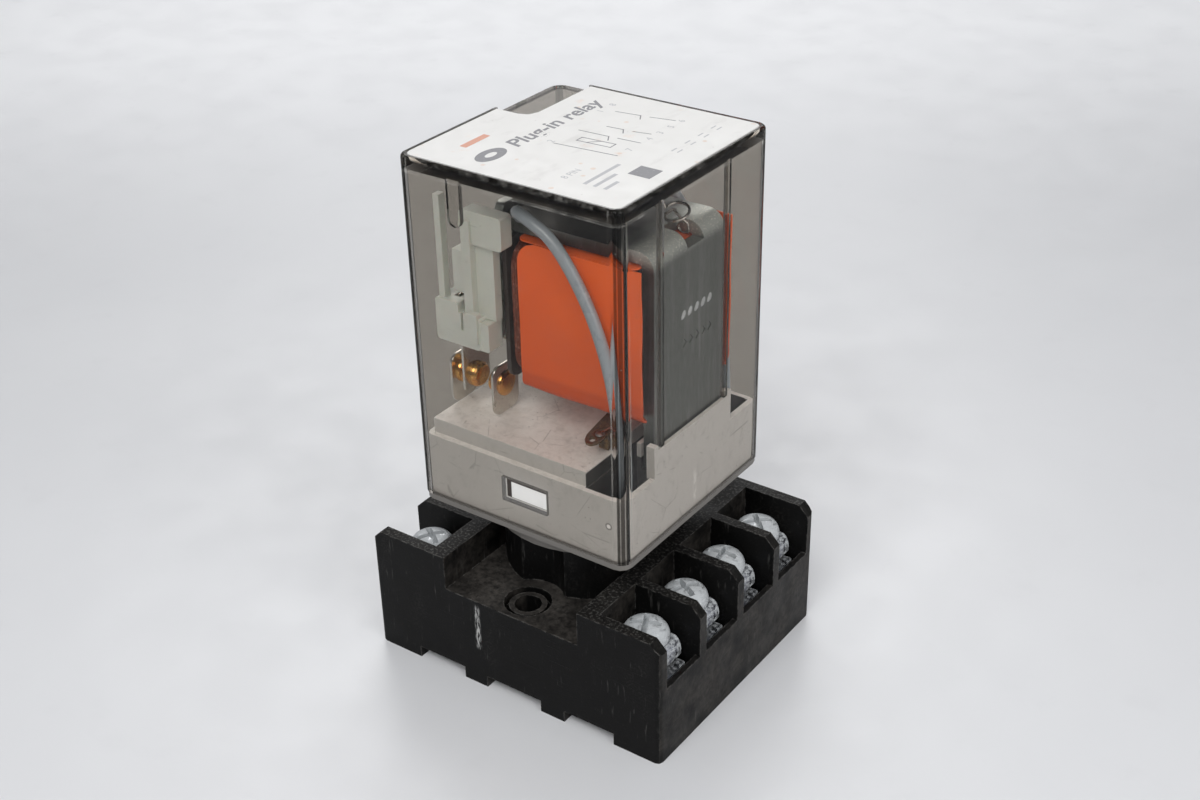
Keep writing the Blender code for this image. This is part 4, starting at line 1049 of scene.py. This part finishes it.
def build_tape():
    """Loose insulating sheet folded round the coil, its upper left corners rounded."""
    low, high = box_mm("coil_tape")
    half = high.y - 0.18
    bottom, corner = low.z + 0.18, 1.5
    path = []
    for i in range(41):
        path.append((-half, high.z - (high.z - bottom - corner) * i / 40, -1, 0))
    for i in range(1, 8):
        angle = math.radians(90 * i / 8)
        across, down = math.cos(angle), math.sin(angle)
        path.append((-half + corner * (1 - across), bottom + corner * (1 - down), -across, -down))
    flank = len(path)
    for i in range(1, 20):
        path.append((-half + corner + (2 * half - 2 * corner) * i / 20, bottom, 0, -1))
    path += [(-y, z, -ny, nz) for y, z, ny, nz in reversed(path[:flank])]
    columns, thick, radius = 30, 0.28, 3.2
    yoke_edge, yoke_gap = 9.7, 13.7
    outer, inner = [], []
    for y, z, ny, nz in path:
        start = low.x + 0.05
        lifted = z - (high.z - radius)
        if lifted > 0:
            start += radius - math.sqrt(max(radius**2 - lifted**2, 0.0))
        end = high.x - 0.05
        # Between the yoke's edges the sheet stops short of its upright.
        if abs(y) < yoke_edge:
            end = yoke_gap
        row_out, row_in = [], []
        for k in range(columns + 1):
            u = k / columns
            x = start + (end - start) * u
            wave = 0.10 * math.sin(0.55 * z + 0.35 * x) * math.sin(0.21 * x + 1.0)
            crease = -0.13 * math.exp(-(((z - low.z - 2.4) / 0.35) ** 2)) if abs(ny) > 0.9 else 0.0
            push = min(0.10, wave + crease) - 0.02
            point = Vector((x, y + ny * push, z + nz * push))
            row_out.append(point * MM)
            row_in.append((point - Vector((0, ny, nz)) * thick) * MM)
        outer.append(row_out)
        inner.append(row_in)
    bm = bmesh.new()
    faces = []
    for rows in (outer, inner):
        faces.append([[bm.verts.new(point) for point in row] for row in rows])
    first, second = faces
    strips = list(zip(first, first[1:])) + list(zip(second, second[1:]))
    strips += [(first[0], second[0]), (first[-1], second[-1])]
    for a, b in strips:
        for i in range(columns):
            bm.faces.new((a[i], a[i + 1], b[i + 1], b[i]))
    for i in range(len(first) - 1):
        for k in (0, columns):
            bm.faces.new((first[i][k], first[i + 1][k], second[i + 1][k], second[i][k]))
    mesh = mesh_from(bm)
    skin("coil_tape", mesh, "relay", ORANGE, "orange_tape", weighted=False, angle=50)
    lid = softened(block((-4.6, -9.4, 68.0), (13.8, 9.4, 68.25), 1.2), 0.05)
    piece("coil_tape_top", lid, "relay", ORANGE, "orange_tape")


def build_spring():
    """Close-wound tension spring between the armature's tail and the yoke's notch."""
    y, height, coil, wire = 1.4, 73.6, 1.0, 0.2
    start, end, turns, steps = -6.0, 10.2, 17, 18
    path = [(-8.9, y, 73.2), (-8.3, y, 73.9), (-7.4, y, 74.2)]
    for i in range(turns * steps + 1):
        angle = 2 * math.pi * i / steps
        x = start + (end - start) * i / (turns * steps)
        path.append((x, y + coil * math.sin(angle), height + coil * math.cos(angle) - 0.2))
    eye, flat = 1.6, 0.45
    for i in range(22):
        angle = math.radians(200 - 20 * i)
        sink = 0.05 * i
        along, across = math.cos(angle), math.sin(angle)
        path.append((13.3 + eye * along, 0.9 + eye * across, 72.9 - sink + flat * across))
    path += [(13.6, 1.6, 71.2), (14.2, 2.0, 70.6)]
    for i in range(1, 10):
        angle = math.radians(30 * i)
        path.append((13.6 + 0.9 * math.cos(angle), 2.0, 69.9 - 0.7 * math.sin(angle)))
    spring = tube(path, wire, 8)
    skin("return_spring", spring, "relay", SPRING, "spring_steel", weighted=False, angle=60)


def rivet_head(rise):
    """Stepped gilt head on a strip's face, pointing up."""
    face = 0.2 + rise
    profile = [(0, face), (1.2, face), (1.45, face - 0.06), (1.58, face - 0.16), (1.60, face - 0.3 * rise)]
    profile += [(1.8, face - 0.45 * rise), (1.88, face - 0.7 * rise), (1.88, 0.15), (0, 0.15)]
    return turned(profile, 36)


def build_contacts():
    """Flat strips with rounded ends, each with a rivet head on both faces."""
    rows = (
        ("closed_contact", "relay", -15.7, 1.5, 0.5, 0.8),
        ("moving_contact", "armature", -13.4, 0.9, 1.1, 1.1),
        ("open_contact", "relay", -8.3, 1.5, 1.65, 0.5),
    )
    for side, label in SIDES:
        for name, body, x, corner, left, right in rows:
            node = "%s_%s" % (name, label)
            low, high = box_mm(node)
            y = side * CONTACT_Y
            centre = (y, (high.z + low.z) / 2)
            outline = rounded_outline(2.8, (high.z - low.z) / 2, corner, 6, centre)
            strip = softened(extruded(outline, 0, x - 0.2, x + 0.2), 0.06, 2, 32)
            skin(node, strip, body, STRIP, "contact_strip")
            heads = []
            for sign, rise in ((1, right), (-1, left)):
                spot = at(x, y, CONTACT_Z) @ rotation(90 * sign, "Y")
                heads.append(moved(rivet_head(rise), spot))
            piece(node + "_rivet", joined(heads), body, GILT, "contact_strip", weighted=False)


def build_coil_ends():
    """Brass solder tabs under the coil, with the winding's ends led to them and soldered."""
    for side, label in SIDES:
        node = "coil_tab_" + label
        outline = [(8.25, 7.4), (8.25, 12.2), (8.6, 13.2), (9.2, 13.75), (10.0, 13.75), (10.6, 13.2)]
        outline += [(10.95, 12.2), (10.95, 7.4)]
        outline = [(x, side * y) for x, y in outline]
        under, over, slope, bent_from = 43.85, 44.2, 0.20, 9.9
        tab = extruded(outline, 2, under, over)
        for vert in tab.vertices:
            vert.co.z -= slope * (abs(vert.co.y) - bent_from * MM)
        near, far = outward(side, 9.65, 10.15)
        tab = boolean(tab, block((8.7, near, 40.7), (10.3, far, 43.95)), "UNION")
        hole = moved(disc(0.42, 2, 20), at(9.6, side * 12.8, 44))
        tab = softened(boolean(tab, hole), 0.05, 2, 32)
        skin(node, tab, "relay", TAB_BRASS, "brass")
        node = "coil_lead_" + label
        points = [(10.2, 11.4, 44.25), (10.8, 11.0, 44.7), (11.4, 10.8, 45.2), (11.9, 10.7, 45.6)]
        points.append((12.35, 10.7, 45.8))
        path = smooth_path([(x, side * y, z) for x, y, z in points], 5)
        skin(node, tube(path, 0.13, 10), "relay", ENAMEL, "copper", weighted=False)
        blob = turned([(0, 0.34), (0.3, 0.3), (0.55, 0.16), (0.7, 0.0), (0, 0.0)], 20)
        blob = moved(blob, at(9.9, side * 11.3, 43.90) @ Matrix.Diagonal((1.0, 1.3, 0.9, 1.0)))
        piece("coil_solder_" + label, blob, "relay", SOLDER, "brass", weighted=False)


def build_leads():
    """Grey flexible leads from the carrier down into the base."""
    for side, label in SIDES:
        node = "pigtail_" + label
        fall = [(3.3, 71.3), (6.3, 67.9), (9.4, 62.6), (11.7, 56.6), (13.2, 49.8)]
        fall += [(13.9, 42.4), (14.0, 29.4)]
        points = [(-3.3, 9.9, 71.8), (-2.6, 11.4, 73.2), (0.0, 12.4, 73.0)]
        points += [(x, 12.5, z) for x, z in fall]
        points = [(x, side * y, z) for x, y, z in points]
        mesh = tube(smooth_path(points, 8), 0.84, 20)
        lead = skin(node, mesh, None, LEAD_GREY, "grey_wire", weighted=False)
        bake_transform(lead)


def build_magnet():
    build_yoke()
    refined("core", 0.12, STEEL, "steel")
    refined("shading_ring", 0.05, COPPER, "copper")
    refined("armature", 0.12, STEEL, "steel")
    refined("coil_bobbin", 0.10, BOBBIN, "bobbin_plastic")
    refined("contact_carrier", 0.18, CARRIER, "carrier_plastic", 3)
    build_winding()
    build_tape()
    build_spring()
    build_contacts()
    build_coil_ends()
    build_leads()


# --- stage


def build_stage():
    bm = bmesh.new()
    bmesh.ops.create_grid(bm, x_segments=2, y_segments=2, size=3.0)
    floor = linked("floor", mesh_from(bm))
    floor.data.materials.append(floor_finish())

    world = bpy.data.worlds.new("studio")
    world.use_nodes = True
    sky = world.node_tree.nodes["Background"].inputs
    sky["Color"].default_value = (0.93, 0.95, 1.0, 1.0)
    sky["Strength"].default_value = 0.30
    bpy.context.scene.world = world

    # Name, place, size in metres and power in watts.
    lamps = (
        ("key", (0.10, -0.42, 0.52), 0.36, 2.55),
        ("fill", (0.50, -0.12, 0.30), 0.40, 1.40),
        ("rim", (-0.30, 0.42, 0.42), 0.40, 0.7),
        ("backdrop", (-0.75, 0.95, 0.75), 0.90, 5.4),
    )
    for name, place, size, power in lamps:
        data = bpy.data.lights.new(name, "AREA")
        data.size = size
        data.energy = power
        lamp = linked(name, data)
        lamp.location = place
        target = (-0.8, 1.0, 0.0) if name == "backdrop" else (0, 0, 0.035)
        aim = Vector(target) - Vector(place)
        lamp.rotation_mode = "QUATERNION"
        lamp.rotation_quaternion = aim.to_track_quat("-Z", "Y")


def build_camera():
    ahead = Vector((-0.508, 0.703, -0.498)).normalized()
    up = Vector((-0.274, 0.416, 0.867))
    right = ahead.cross(up).normalized()
    up = right.cross(ahead)
    data = bpy.data.cameras.new("camera")
    data.lens = 51.0
    data.sensor_width = 36.0
    data.clip_start = 0.005
    camera = linked("camera", data)
    turn = Matrix((right, up, -ahead)).transposed().to_4x4()
    camera.matrix_world = Matrix.Translation((0.1245, -0.1703, 0.1614)) @ turn
    bpy.context.scene.camera = camera


build_socket()
build_terminals()
build_base()
build_pins()
build_cover()
build_label()
build_magnet()
build_stage()
build_camera()

scene = bpy.context.scene
scene.view_settings.view_transform = "Standard"
scene.cycles.use_denoising = True
scene.cycles.transparent_max_bounces = 24
